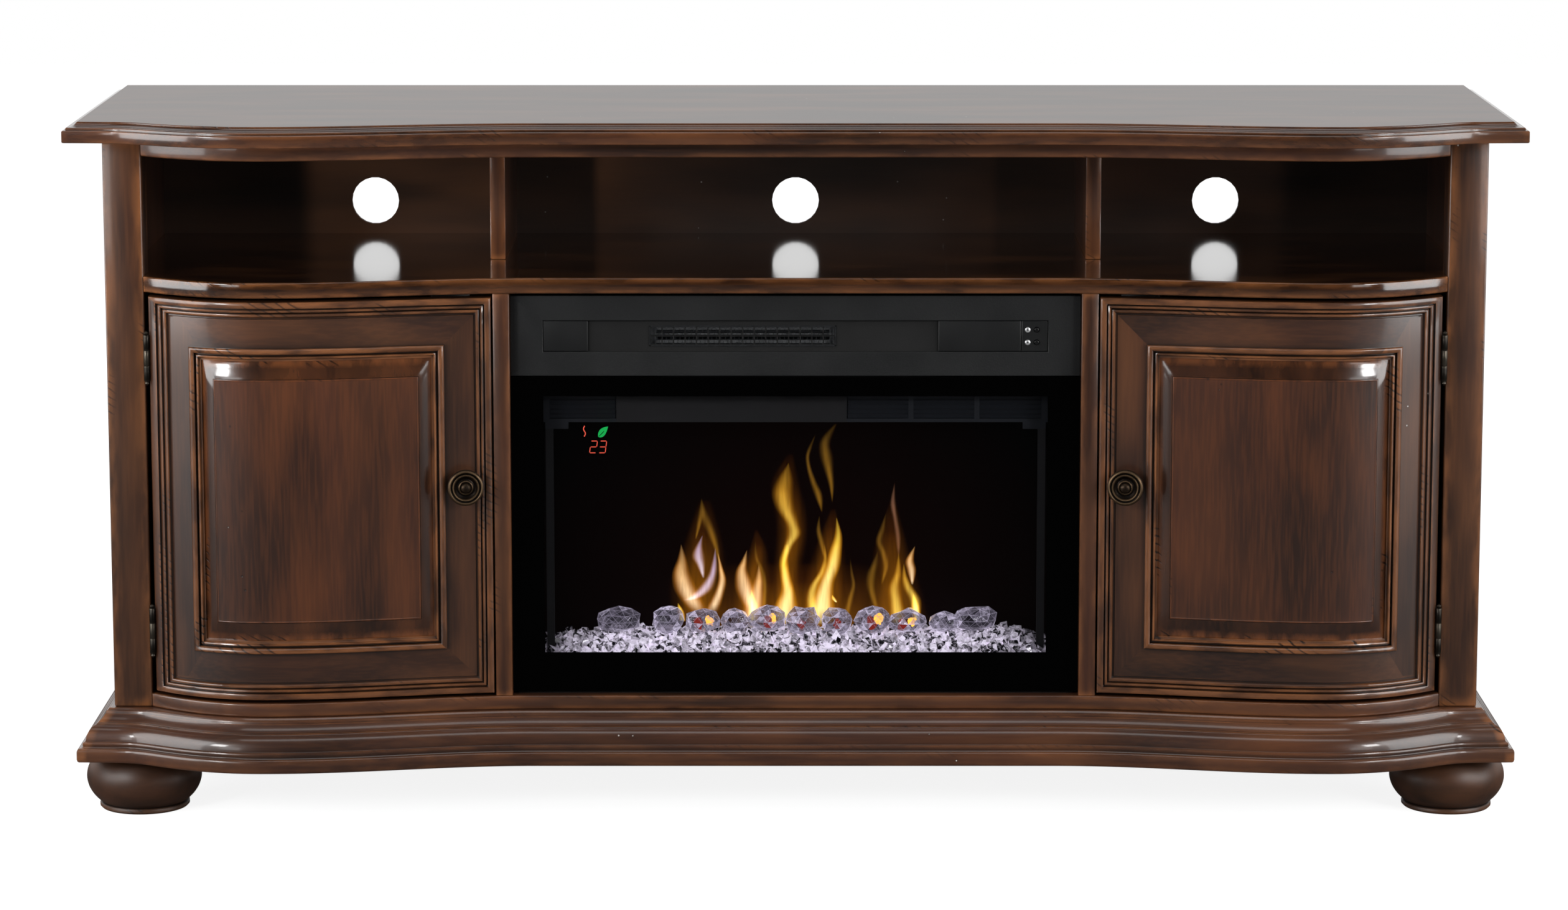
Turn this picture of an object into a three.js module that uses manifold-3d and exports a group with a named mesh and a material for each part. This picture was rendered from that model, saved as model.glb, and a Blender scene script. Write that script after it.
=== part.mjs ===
// A fireplace TV stand: a serpentine-fronted cabinet on bun feet, with an open bay over two raised-panel doors
// and an electric firebox between them. Millimetres, +Z up, the front faces -Y, and the origin is on the floor
// under the middle. Right-hand pieces are modelled once, and the left-hand ones are their mirror images.
import * as THREE from "three";
import { mergeVertices } from "three/addons/utils/BufferGeometryUtils.js";
import Module from "manifold-3d";

// Overall size
const width = 1657;
const depth = 489;

// Clearances
const seatGap = 0.3;
const overrun = 5;

// Plan line of the front: flat in the middle, two forward bows, and a fall to each corner post
const bowRise = 42;
const cornerFall = 56;
const crestShare = 0.665;
const flatInset = 31;
const moulding = 39.5;
const earFillet = 14;
const earRun = 24;

// Edge profiles as shares: [out, of the moulding; up, of the top or the base]
const topShares = [
  [0.95, 0], [1, 0.09], [1, 0.59], [0.972, 0.687], [0.911, 0.722], [0.861, 0.678], [0.825, 0.704],
  [0.734, 0.735], [0.668, 0.809], [0.643, 0.93], [0.608, 1],
];
const baseShares = [
  [0.88, 0], [1, 0.075], [1, 0.216], [0.957, 0.286], [0.876, 0.31], [0.82, 0.317], [0.82, 0.414],
  [0.744, 0.438], [0.668, 0.517], [0.623, 0.621], [0.522, 0.714], [0.471, 0.724], [0.339, 0.821],
  [0.243, 0.897], [0.218, 0.959], [0.127, 1],
];

// Levels, from the floor up
const footHeight = 67;
const baseHeight = 58;
const railHeight = 16;
const openingHeight = 469;
const shelfThick = 18;
const bayHeight = 157;
const apronHeight = 19;
const topThick = 23;

// Carcass
const postSize = 44;
const boardArris = 1.6;
const backOverhang = 4.5;
const sideThick = 16;
const sideInset = 3;
const sideStile = 46;
const sideFieldDrop = 5;
const sideFieldBevel = 7;
const partitionThick = 19;
const dividerThick = 18;
const dividerOffset = 2.7;
const dividerSetback = 159;
const apronThick = 20;
const railDepth = 40;
const baseInner = 50;
const backThick = 6;

// Back panel openings
const cableHole = 57;
const cableHoleSpread = 512;
const cableHoleRise = 40;
const lowCableHoleRise = 290;
const ventWidth = 480;
const ventHeight = 280;
const ventRise = 70;

// Loose cupboard shelves and their pins
const looseShelfRise = 225;
const looseShelfSetback = 12;
const looseShelfBackGap = 8;
const pinRadius = 3;
const pinLength = 10;
const pinInset = 60;

// Bun feet
const footInset = 67.5;
const footSetback = 75;
const footBall = 134;
const footDisc = 104;
const footDiscHeight = 7;
const footNeck = 100;

// Doors
const doorThick = 21;
const doorGapBelow = 4;
const doorGapAbove = 4.5;
const doorGapHinge = 5.5;
const doorGapInner = 2;
const stileMoulding = 21;
const stileFlat = 32;
const stileBolection = 15;
const hingeMoulding = 27;
const hingeFlat = 21;
const flatDrop = 5.5;
const grooveDepth = 6.5;
const grooveFront = 10;
const grooveBack = 2.7;
const panelClear = 0.6;
const bevelSide = 15;
const bevelEnd = 22;
const fieldLip = 1.8;
const fieldDrop = 4;

// Door profiles as shares: [across, of the moulding; back, of the drop to the flat]
const edgeShares = [
  [0, 0.29], [0.076, 0], [0.381, 0], [0.438, 0.327], [0.571, 0.218], [0.714, 0.4], [0.762, 0.709],
  [0.857, 0.655], [0.952, 0.8], [1, 1],
];
const bolectionShares = [
  [0, 1], [0.053, 0.436], [0.293, 0.073], [0.533, 0.364], [0.627, 0.8], [0.907, 0.909], [1, 1.345],
];

// The panel's bevel and lip as shares: [across, of the bevel; rise, of the bevel or the lip]
const bevelShares = [[0.06, 0], [0.3, 0.3], [0.65, 0.72], [0.94, 1]];
const lipShares = [[0.97, 0.33], [1.08, 0]];

// Knobs
const knobInset = 32;
const knobRise = 244;
const knobDiameter = 42;
const knobProud = 25;
const knobShares = [
  [0, 0], [0.5, 0], [0.52, 0.08], [0.36, 0.2], [0.36, 0.4], [0.62, 0.5], [0.95, 0.62], [1, 0.74], [0.93, 0.86],
  [0.8, 0.88], [0.76, 0.8], [0.7, 0.86], [0.62, 0.82], [0.4, 0.7], [0.3, 0.84], [0.16, 0.98], [0, 1],
];

// Hinges
const hingeHeight = 53;
const hingeInset = 71;
const hingeBarrel = 7;
const hingePin = 3.2;
const hingePinClear = 0.3;
const hingeLeaf = 1.8;
const hingeLeafDepth = 27;
const hingeProud = 6;
const hingeFinial = 5.6;
const finialNeckShare = 0.55;

// Magnetic catches and their strike plates
const catchInset = 46;
const catchLength = 44;
const catchDepth = 14;
const catchHeight = 13;
const strikeThick = 1.2;
const strikeHeight = 16;
const strikeDrop = 3;

// Firebox
const fireWidth = 653;
const fireHeight = 463;
const fireDepth = 212;
const fireRise = 2;
const fireSetback = 13;
const flange = 6;
const sheet = 2;
const trimThick = 4;
const trimHeight = 93;
const glassThick = 4;

// Upper trim: slot, vent insert, covers and controls
const slotInset = 37.5;
const slotRise = 28;
const slotHeight = 36;
const slotLap = 4;
const insertThick = 2;
const meshLeft = 166;
const meshRight = 45;
const meshHeight = 21.5;
const meshColumns = 16;
const meshRows = 2;
const meshWire = 1.6;
const coverThick = 2.6;
const coverArris = 0.6;
const coverLeftWidth = 51;
const coverClear = 0.7;
const coverRightWidth = 94.5;
const controlWidth = 30;
const buttonRadius = 2.7;
const buttonClear = 0.3;
const buttonLength = 6;
const buttonProud = 1.6;
const buttonSpread = 14.5;
const buttonInset = 13;
const screwInset = 7;
const screwRadius = 2.9;
const screwHead = 0.8;

// Blower
const wheelRadius = 26;
const wheelBlades = 12;
const wheelBladeThick = 1.4;
const wheelBladeDepth = 8;
const wheelDisc = 3;
const wheelSetback = 55;
const shaftRadius = 3;
const shaftClear = 0.4;
const bearingThick = 10;
const bearingWidth = 18;
const motorRadius = 24;
const motorLength = 45;
const heaterSetback = 12;
const heaterThick = 8;
const heaterBars = 5;
const heaterFrame = 6;

// Flame chamber
const louvreSetback = 22;
const louvreDrop = 58;
const louvreThick = 4;
const louvreBlock = 78;
const louvrePitch = 82;
const louvreInset = 31;
const louvreRightBlocks = 3;
const louvreSlots = 4;
const louvreSlotHeight = 3.6;
const bedInset = 18.5;
const bedDepth = 82;
const bedFront = 45;
const bedBack = 60;
const bedLump = 4;
const bedSteps = 24;
const bedRows = 3;
const rockWidth = 40;
const rockHeight = 34;
const rockGap = 1.5;
const rockCount = 11;
const rockDepthShare = 0.8;
const rockBackShare = 0.6;
const rockRiseShare = 0.4;
const screenThick = 3;
const screenGap = 5;
const rotorBehind = 48;
const rotorRise = 34;
const rotorEndRoom = 68.5;
const paddleWidth = 30;
const paddleHeight = 24;
const paddleThick = 1;
const paddleCount = 8;
const paddleTurn = Math.PI / 5;
const flickerMotorRadius = 19;
const flickerMotorLength = 26;
const ledHeight = 12;
const ledDepth = 10;
const inletWidth = 34;
const inletHeight = 28;
const inletDepth = 12;
const inletWall = 4;

// Levels and planes worked out from the sizes above
const railZ = footHeight + baseHeight;
const floorZ = railZ + railHeight;
const shelfZ = floorZ + openingHeight;
const bayZ = shelfZ + shelfThick;
const topZ = bayZ + bayHeight;
const apronZ = topZ - apronHeight;
const postOuter = width / 2 - moulding;
const postInner = postOuter - postSize;
const crestY = moulding - depth / 2;
const middleY = crestY + bowRise;
const postY = crestY + cornerFall;
const backY = depth / 2 - backOverhang;
const panelY = backY - backThick;
const sideOuter = postOuter - sideInset;
const sideInner = sideOuter - sideThick;
const partitionInner = fireWidth / 2 + seatGap;
const partitionOuter = partitionInner + partitionThick;
const flatHalf = fireWidth / 2 - flatInset;
const crestX = partitionOuter + crestShare * (postInner - partitionOuter);

const wasm = await Module();
wasm.setup();

// A material with the piece's colour and finish.
function finish(color, roughness, metalness = 0, extra = {}) {
  return new THREE.MeshStandardMaterial({ color, roughness, metalness, ...extra });
}

const wood = () => finish(0x3a2218, 0.38);
const panelWood = () => finish(0x4d2a1c, 0.35);
const insideWood = () => finish(0x1e1310, 0.5);
const bronze = () => finish(0x4a4336, 0.4, 0.9);
const blackSteel = () => finish(0x1d1e20, 0.55, 0.4);
const zinc = () => finish(0x8d9094, 0.4, 0.9);
const blackPlastic = () => finish(0x111214, 0.45);

// The same geometry with its faces turned out.
function facingOut(geometry) {
  const flat = geometry.index ? geometry.toNonIndexed() : geometry;
  const p = flat.getAttribute("position");
  const [a, b, c] = [new THREE.Vector3(), new THREE.Vector3(), new THREE.Vector3()];
  let volume = 0;
  for (let i = 0; i < p.count; i += 3) {
    a.fromBufferAttribute(p, i);
    b.fromBufferAttribute(p, i + 1);
    c.fromBufferAttribute(p, i + 2);
    volume += a.dot(b.cross(c));
  }
  if (volume < 0) {
    const index = geometry.index.array;
    for (let i = 0; i < index.length; i += 3) [index[i + 1], index[i + 2]] = [index[i + 2], index[i + 1]];
  }
  geometry.computeVertexNormals();
  return geometry;
}

// Triangles that close a flat ring of points, wound the way the ring runs.
function capOf(ring) {
  const normal = new THREE.Vector3();
  ring.forEach((point, i) => normal.add(point.clone().cross(ring[(i + 1) % ring.length])));
  const size = [Math.abs(normal.x), Math.abs(normal.y), Math.abs(normal.z)];
  const drop = size.indexOf(Math.max(...size));
  const [u, v] = [["y", "z"], ["x", "z"], ["x", "y"]][drop];
  const contour = ring.map((point) => new THREE.Vector2(point[u], point[v]));
  const turn = Math.sign(THREE.ShapeUtils.area(contour));
  return THREE.ShapeUtils.triangulateShape(contour, []).map(([a, b, c]) =>
    Math.sign(THREE.ShapeUtils.area([contour[a], contour[b], contour[c]])) === turn ? [a, b, c] : [a, c, b]);
}

// Triangles that close a ring whose first half runs opposite its second half, such as a curved door face.
function ladderOf(ring) {
  const last = ring.length - 1;
  const faces = [];
  for (let k = 0; k < (ring.length - 2) / 2; k++) {
    faces.push([k, k + 1, last - k - 1], [k, last - k - 1, last - k]);
  }
  return faces;
}

// A solid lofted through rings with the same number of points. A closed run has no ends.
function loft(rings, { closed = false, cap = capOf } = {}) {
  const count = rings[0].length;
  const index = [];
  const runs = closed ? rings.length : rings.length - 1;
  for (let i = 0; i < runs; i++) {
    for (let j = 0; j < count; j++) {
      const here = i * count;
      const next = ((i + 1) % rings.length) * count;
      const k = (j + 1) % count;
      index.push(here + j, here + k, next + k, here + j, next + k, next + j);
    }
  }
  if (!closed) {
    const end = (rings.length - 1) * count;
    cap(rings[0]).forEach(([a, b, c]) => index.push(a, c, b));
    cap(rings[rings.length - 1]).forEach(([a, b, c]) => index.push(end + a, end + b, end + c));
  }
  const geometry = new THREE.BufferGeometry().setFromPoints(rings.flat());
  geometry.setIndex(index);
  return facingOut(geometry);
}

function solidOf(geometry) {
  const bare = new THREE.BufferGeometry();
  bare.setAttribute("position", geometry.getAttribute("position"));
  bare.setIndex(geometry.index);
  const merged = mergeVertices(bare);
  return new wasm.Manifold(new wasm.Mesh({
    numProp: 3,
    vertProperties: merged.getAttribute("position").array,
    triVerts: Uint32Array.from(merged.index.array),
  }));
}

function geometryOf(solid) {
  const mesh = solid.getMesh();
  const geometry = new THREE.BufferGeometry();
  geometry.setAttribute("position", new THREE.BufferAttribute(Float32Array.from(mesh.vertProperties), 3));
  geometry.setIndex([...mesh.triVerts]);
  geometry.computeVertexNormals();
  return geometry;
}

const join = (...pieces) => geometryOf(pieces.map(solidOf).reduce((whole, piece) => whole.add(piece)));
const cut = (piece, ...tools) =>
  geometryOf(tools.map(solidOf).reduce((left, tool) => left.subtract(tool), solidOf(piece)));

// A block between two values on each axis.
function block([x0, x1], [y0, y1], [z0, z1]) {
  return new THREE.BoxGeometry(x1 - x0, y1 - y0, z1 - z0)
    .translate((x0 + x1) / 2, (y0 + y1) / 2, (z0 + z1) / 2);
}

// A round bar along X, Y or Z through a point.
function bar(axis, radius, [from, to], [x, y, z], sides = 24) {
  const geometry = new THREE.CylinderGeometry(radius, radius, to - from, sides);
  const middle = (from + to) / 2;
  if (axis === "x") return geometry.rotateZ(Math.PI / 2).translate(middle, y, z);
  if (axis === "y") return geometry.translate(x, middle, z);
  return geometry.rotateX(Math.PI / 2).translate(x, y, middle);
}

// A shape of [across, up] points, extruded back from a front plane.
function plate(outline, front, thick, { holes = [], arris = 0 } = {}) {
  const shape = new THREE.Shape(outline.map(([u, v]) => new THREE.Vector2(u, v)));
  shape.holes = holes.map((hole) => new THREE.Path(hole.map(([u, v]) => new THREE.Vector2(u, v))));
  return new THREE.ExtrudeGeometry(shape, {
    depth: thick - 2 * arris,
    bevelEnabled: arris > 0,
    bevelThickness: arris,
    bevelSize: arris,
    bevelOffset: -arris,
    bevelSegments: 1,
  }).rotateX(Math.PI / 2).translate(0, front + thick - arris, 0);
}

// A board of [x, y] plan points between two levels, with its arrises eased.
function board(plan, low, high, arris = boardArris) {
  const shape = new THREE.Shape(plan.map(([x, y]) => new THREE.Vector2(x, y)));
  return new THREE.ExtrudeGeometry(shape, {
    depth: high - low - 2 * arris,
    bevelEnabled: arris > 0,
    bevelThickness: arris,
    bevelSize: arris,
    bevelOffset: -arris,
    bevelSegments: 1,
  }).translate(0, 0, low + arris);
}

const rect = (u0, u1, v0, v1) => [[u0, v0], [u1, v0], [u1, v1], [u0, v1]];
const circle = (u, v, radius, sides = 22) => Array.from({ length: sides }, (_, i) => {
  const turn = (i / sides) * 2 * Math.PI;
  return [u + radius * Math.cos(turn), v + radius * Math.sin(turn)];
});
const spread = (from, to, steps) => Array.from({ length: steps + 1 }, (_, i) => from + ((to - from) * i) / steps);

// The plan line of the front, and its slope, at a distance x from the middle.
function lineY(x) {
  const at = Math.abs(x);
  if (at <= flatHalf) return middleY;
  if (at <= crestX) {
    const share = (crestX - at) / (crestX - flatHalf);
    return crestY + (bowRise * (1 - Math.cos(Math.PI * share))) / 2;
  }
  return crestY + cornerFall * ((at - crestX) / (postInner - crestX)) ** 2;
}

function lineSlope(x) {
  const at = Math.abs(x);
  if (at <= flatHalf) return 0;
  if (at <= crestX) {
    const run = crestX - flatHalf;
    return (-bowRise * Math.PI * Math.sin((Math.PI * (crestX - at)) / run)) / (2 * run);
  }
  return (2 * cornerFall * (at - crestX)) / (postInner - crestX) ** 2;
}

// Distances from the middle at which the front line is drawn, from a start to the post.
const stations = (from, to) => [...spread(from, crestX, 8), ...spread(crestX, to, 5).slice(1)];

// The whole front line between the posts, left to right, set back by a distance.
function frontLine(back = 0, end = postInner - seatGap) {
  const half = stations(flatHalf, end).map((x) => [x, lineY(x) + back]);
  return [...half.map(([x, y]) => [-x, y]).reverse(), ...half];
}

// The line that a moulding follows at a distance out from the post faces: the bow, a soft turn and the ear.
function mouldingLine(out) {
  const ear = postY - out;
  const beyond = spread(postInner, postInner + earRun, 3).slice(1);
  const half = [...stations(flatHalf, postInner), ...beyond].map((x) => {
    const slope = lineSlope(x);
    const long = Math.hypot(1, slope);
    const [px, py] = [x + (out * slope) / long, lineY(x) - out / long];
    return [px, (py + ear) / 2 - Math.hypot(py - ear, earFillet) / 2 + softEnd(x)];
  });
  half.push([postOuter + out, ear]);
  return [...half.map(([x, y]) => [-x, y]).reverse(), ...half];
}

// What the soft turn adds in front of the crest, taken off again so that the crest keeps its place.
function softEnd(x) {
  const fall = lineY(x) - postY;
  return (Math.hypot(fall, earFillet) - Math.abs(fall)) / 2 * (fall < 0 ? (fall / cornerFall) ** 2 : 0);
}

const place = (points, z) => points.map(([x, y]) => new THREE.Vector3(x, y, z));

const topPoints = topShares.map(([out, up]) => [out * moulding, up * topThick]);
const basePoints = [
  [-baseInner, 0], ...baseShares.map(([out, up]) => [out * moulding, up * baseHeight]), [-baseInner, baseHeight],
];

function topPanel() {
  return loft(topPoints.map(([out, up]) => {
    const line = mouldingLine(out);
    const edge = postOuter + out;
    return place([...line, [edge, depth / 2], [-edge, depth / 2]], topZ + up);
  }));
}

function baseFront() {
  const lines = basePoints.map(([out, up]) => place(mouldingLine(out), footHeight + up));
  return loft(lines[0].map((_, i) => lines.map((line) => line[i])));
}

function baseSide() {
  const ring = (y) => basePoints.map(([out, up]) => new THREE.Vector3(postOuter + out, y(out), footHeight + up));
  return loft([ring((out) => postY - out + seatGap), ring(() => backY)]);
}

function mediaShelf() {
  const notch = postY + postSize + seatGap;
  const [side, back] = [sideInner - seatGap, panelY - seatGap];
  const near = postInner - seatGap;
  return board([
    ...frontLine(), [near, notch], [side, notch], [side, back], [-side, back], [-side, notch], [-near, notch],
  ], shelfZ, bayZ);
}

function apron() {
  return board([...frontLine(), ...frontLine(apronThick).reverse()], apronZ, topZ);
}

function bottomRail() {
  return board([...frontLine(), ...frontLine(railDepth).reverse()], railZ, floorZ);
}

function cabinetFloor() {
  const notch = postY + postSize + seatGap;
  const [side, near, back] = [sideInner - seatGap, postInner - seatGap, panelY - seatGap];
  return board([
    ...frontLine(railDepth + seatGap), [near, notch], [side, notch], [side, back],
    [-side, back], [-side, notch], [-near, notch],
  ], railZ, floorZ, 0);
}

function post() {
  const outline = rect(postInner, postOuter, postY, postY + postSize);
  const shape = new THREE.Shape(outline.map(([x, y]) => new THREE.Vector2(x, y)));
  return new THREE.ExtrudeGeometry(shape, { depth: topZ - railZ, bevelEnabled: false }).translate(0, 0, railZ);
}

// A cupboard side with a frame round a lowered field, and two shelf pins on its inner face.
function sidePanel() {
  const ring = (inset, x) => [
    [postY + postSize + seatGap + inset, railZ + inset], [panelY + backThick - inset, railZ + inset],
    [panelY + backThick - inset, topZ - inset], [postY + postSize + seatGap + inset, topZ - inset],
  ].map(([y, z]) => new THREE.Vector3(x, y, z));
  const body = loft([
    ring(0, sideInner), ring(0, sideOuter), ring(sideStile, sideOuter),
    ring(sideStile + sideFieldBevel, sideOuter - sideFieldDrop),
  ]);
  return cut(join(body, ...shelfPins(sideInner, -1)), backRebate());
}

// Room for the back panel in the inner edge of a cupboard side.
function backRebate() {
  return block([sideInner - overrun, sideInner + backThick + seatGap], [panelY - seatGap, backY + overrun],
    [railZ - overrun, topZ + overrun]);
}

// Pins that carry a loose shelf, standing off a face towards the cupboard.
function shelfPins(face, way) {
  const front = postY + postSize + looseShelfSetback + pinInset;
  const rear = panelY - looseShelfBackGap - pinInset;
  const level = floorZ + looseShelfRise - pinRadius - seatGap;
  const ends = [face - way * pinRadius, face + way * pinLength].sort((a, b) => a - b);
  return [front, rear].map((y) => bar("x", pinRadius, ends, [0, y, level], 12));
}

function partition() {
  const body = block([partitionInner, partitionOuter], [middleY, panelY - seatGap], [floorZ, shelfZ]);
  return join(body, ...shelfPins(partitionOuter, 1));
}

function bayDivider() {
  const middle = partitionOuter + dividerOffset;
  const half = dividerThick / 2;
  return block([middle - half, middle + half], [middleY + dividerSetback, panelY - seatGap],
    [bayZ, topZ]);
}

function looseShelf() {
  const low = floorZ + looseShelfRise;
  return board(rect(partitionOuter + seatGap, sideInner - seatGap, postY + postSize + looseShelfSetback,
    panelY - looseShelfBackGap), low, low + shelfThick);
}

function backPanel() {
  const half = sideInner + backThick;
  const high = bayZ + cableHoleRise;
  const low = floorZ + lowCableHoleRise;
  const vent = floorZ + ventRise;
  return plate(rect(-half, half, railZ, topZ), panelY, backThick, {
    holes: [
      ...[-cableHoleSpread, 0, cableHoleSpread].map((x) => circle(x, high, cableHole / 2)),
      ...[-cableHoleSpread, cableHoleSpread].map((x) => circle(x, low, cableHole / 2)),
      rect(-ventWidth / 2, ventWidth / 2, vent, vent + ventHeight),
    ],
  });
}

function baseRear() {
  const half = postOuter - baseInner - seatGap;
  return block([-half, half], [backY - baseInner, backY], [footHeight, railZ]);
}

// A turned bun foot: a flat disc, a squashed ball and a flat seat on top.
function bunFoot() {
  const ball = footHeight - footDiscHeight;
  const [wide, neck] = [footBall / 2, footNeck / 2];
  const side = spread(-1, 1, 7).map((t) => {
    const share = Math.sqrt(1 - (t * (1 - (neck / wide) ** 2) ** 0.5) ** 2);
    return new THREE.Vector2(wide * share, footDiscHeight + (ball * (t + 1)) / 2);
  });
  const disc = footDisc / 2;
  const profile = [
    new THREE.Vector2(0, 0), new THREE.Vector2(disc, 0), new THREE.Vector2(disc, footDiscHeight), ...side,
    new THREE.Vector2(0, footHeight),
  ];
  return new THREE.LatheGeometry(profile, 20).rotateX(Math.PI / 2);
}

// Door outline, and the rectangle at an inset from it, drawn on the front line at a depth behind it.
const doorInner = partitionOuter + doorGapInner;
const doorOuter = postInner - doorGapHinge;
const doorLow = floorZ + doorGapBelow;
const doorHigh = shelfZ - doorGapAbove;

// The inset on the hinge side, where the moulding is wider and the flat narrower.
function hingeInsetOf(inset) {
  if (inset <= stileMoulding) return (inset * hingeMoulding) / stileMoulding;
  const past = inset - stileMoulding;
  if (past <= stileFlat) return hingeMoulding + (past * hingeFlat) / stileFlat;
  return hingeMoulding + hingeFlat + past - stileFlat;
}

function doorRing([inset, back, endExtra = 0]) {
  const xs = spread(doorInner + inset, doorOuter - hingeInsetOf(inset), 10);
  const [low, high] = [doorLow + inset + endExtra, doorHigh - inset - endExtra];
  return [
    ...xs.map((x) => new THREE.Vector3(x, lineY(x) + back, low)),
    ...xs.reverse().map((x) => new THREE.Vector3(x, lineY(x) + back, high)),
  ];
}

const opening = stileMoulding + stileFlat + stileBolection;

// The mitred frame: a stepped edge moulding, a flat, a bolection moulding, and the groove that holds the panel.
function doorFrame() {
  const flat = stileMoulding + stileFlat;
  const groove = opening - grooveDepth;
  return loft([
    [0, doorThick],
    ...edgeShares.map(([across, back]) => [across * stileMoulding, back * flatDrop]),
    ...bolectionShares.map(([across, back]) => [flat + across * stileBolection, back * flatDrop]),
    [opening, grooveFront], [groove, grooveFront], [groove, doorThick - grooveBack],
    [opening, doorThick - grooveBack], [opening, doorThick],
  ].map(doorRing), { closed: true });
}

// The raised panel, with a hollow bevel round a field that stands up by a small lip.
function doorPanel() {
  const edge = opening - grooveDepth + seatGap;
  const [front, back] = [grooveFront + panelClear, doorThick - grooveBack - panelClear];
  const extra = bevelEnd - bevelSide;
  const bevel = (share) => opening + share * bevelSide;
  const fall = front - fieldDrop - fieldLip;
  return loft([
    [edge, back], [edge, front],
    ...bevelShares.map(([across, rise]) => [bevel(across), front - rise * fall, Math.min(across, rise) * extra]),
    ...lipShares.map(([across, rise]) => [bevel(across), fieldDrop + rise * fieldLip, extra]),
  ].map(doorRing), { cap: ladderOf });
}

// A knob of turned rings on a short stem, along +Z from its seat.
function knob() {
  const profile = knobShares.map(([across, along]) =>
    new THREE.Vector2((across * knobDiameter) / 2, along * knobProud));
  return new THREE.LatheGeometry(profile, 16).rotateX(Math.PI / 2);
}

const hingeX = postInner - doorGapHinge / 2;
const hingeY = postY - hingeProud;
const knuckle = hingeHeight / 3;

// The post leaf: a plate, two outer knuckles, the pin and its ball tips, about the pin's middle.
function postLeaf() {
  const [r, pin, half] = [hingeBarrel / 2, hingePin / 2, hingeHeight / 2];
  const ball = hingeFinial / 2;
  const v = (x, y) => new THREE.Vector2(x, y);
  const barrel = new THREE.LatheGeometry([
    v(0, -half - 2 * ball), v(ball, -half - ball), v(finialNeckShare * ball, -half),
    v(r, -half), v(r, -knuckle / 2 - seatGap), v(pin, -knuckle / 2 - seatGap), v(pin, knuckle / 2 + seatGap),
    v(r, knuckle / 2 + seatGap), v(r, half), v(finialNeckShare * ball, half), v(ball, half + ball),
    v(0, half + 2 * ball),
  ], 8).rotateX(Math.PI / 2);
  const far = doorGapHinge / 2 - seatGap;
  const leaf = block([far - hingeLeaf, far], [0, hingeLeafDepth], [-half, half]);
  const room = block([-r - overrun, r + overrun], [-r - overrun, r + 2 * seatGap],
    [-knuckle / 2 - seatGap, knuckle / 2 + seatGap]);
  return join(cut(leaf, room), barrel);
}

// The door leaf: a plate and the middle knuckle, bored for the pin.
function doorLeaf() {
  const [r, half] = [hingeBarrel / 2, hingeHeight / 2];
  const middle = knuckle / 2;
  const far = doorGapHinge / 2 - seatGap;
  const leaf = block([-far, hingeLeaf - far], [0, hingeLeafDepth], [-half, half]);
  const room = (low, high) => block([-r - overrun, r + overrun], [-r - overrun, r + 2 * seatGap], [low, high]);
  const barrel = bar("z", r, [-middle, middle], [0, 0, 0], 10);
  const bore = bar("z", hingePin / 2 + hingePinClear, [-half, half], [0, 0, 0], 10);
  const ends = [room(middle, half + overrun), room(-half - overrun, -middle)];
  return cut(join(cut(leaf, ...ends), barrel), bore);
}

// Firebox planes
const fireFace = middleY + fireSetback;
const housingFront = fireFace + trimThick + seatGap;
const housingBack = fireFace + fireDepth;
const housingHalf = fireWidth / 2 - flange;
const slotHalf = fireWidth / 2 - slotInset;
const fireLow = floorZ + fireRise;
const fireHigh = fireLow + fireHeight;
const housingHigh = fireHigh - flange;
const trimZ = fireHigh - trimHeight;
const chamberLow = floorZ + sheet;
const ductLow = trimZ + sheet;
const slotLow = trimZ + slotRise;
const slotMiddle = slotLow + slotHeight / 2;
const wheelY = housingFront + wheelSetback;
const wheelZ = (ductLow + housingHigh - sheet) / 2;
const screenY = housingFront + screenGap + bedDepth + screenGap;
const rotorY = screenY + rotorBehind;
const rotorZ = chamberLow + rotorRise;
const bearingX = meshLeft + 2 * bearingThick;
const bedHalf = housingHalf - sheet - bedInset;
const rotorEnd = housingHalf - sheet - rotorEndRoom;

// The steel housing: a flame chamber under a blower duct, shaft bearings and a power inlet on the rear.
function firebox() {
  const shell = block([-housingHalf, housingHalf], [housingFront, housingBack], [floorZ, housingHigh]);
  const inner = housingHalf - sheet;
  const chamber = block([-inner, inner], [housingFront - overrun, housingBack - sheet], [chamberLow, trimZ]);
  const duct = block([-inner, inner], [housingFront - overrun, housingBack - sheet],
    [ductLow, housingHigh - sheet]);
  const half = bearingWidth / 2;
  const blowerPost = block([-bearingX, bearingThick - bearingX], [wheelY - half, wheelY + half],
    [trimZ, wheelZ + half]);
  const rotorPost = block([-rotorEnd - bearingThick, -rotorEnd], [rotorY - half, rotorY + half],
    [floorZ, rotorZ + half]);
  const inlet = block([rotorEnd - inletWidth, rotorEnd], [housingBack - sheet, housingBack + inletDepth],
    [rotorZ, rotorZ + inletHeight]);
  const socket = block([rotorEnd - inletWidth + inletWall, rotorEnd - inletWall],
    [housingBack + inletWall, housingBack + inletDepth + overrun],
    [rotorZ + inletWall, rotorZ + inletHeight - inletWall]);
  const bore = shaftRadius + shaftClear;
  return cut(join(cut(shell, chamber, duct), blowerPost, rotorPost, inlet), socket,
    bar("x", bore, [-bearingX - overrun, 2 * bearingThick - bearingX], [0, wheelY, wheelZ], 16),
    bar("x", bore, [-rotorEnd - bearingThick - overrun, overrun - rotorEnd], [0, rotorY, rotorZ], 16));
}

function fireTrim() {
  return plate(rect(-fireWidth / 2, fireWidth / 2, trimZ, fireHigh), fireFace, trimThick, {
    holes: [rect(-slotHalf, slotHalf, slotLow, slotLow + slotHeight)],
    arris: coverArris,
  });
}

function fireGlass() {
  return plate(rect(-fireWidth / 2, fireWidth / 2, fireLow, trimZ - seatGap), fireFace, glassThick);
}

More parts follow.
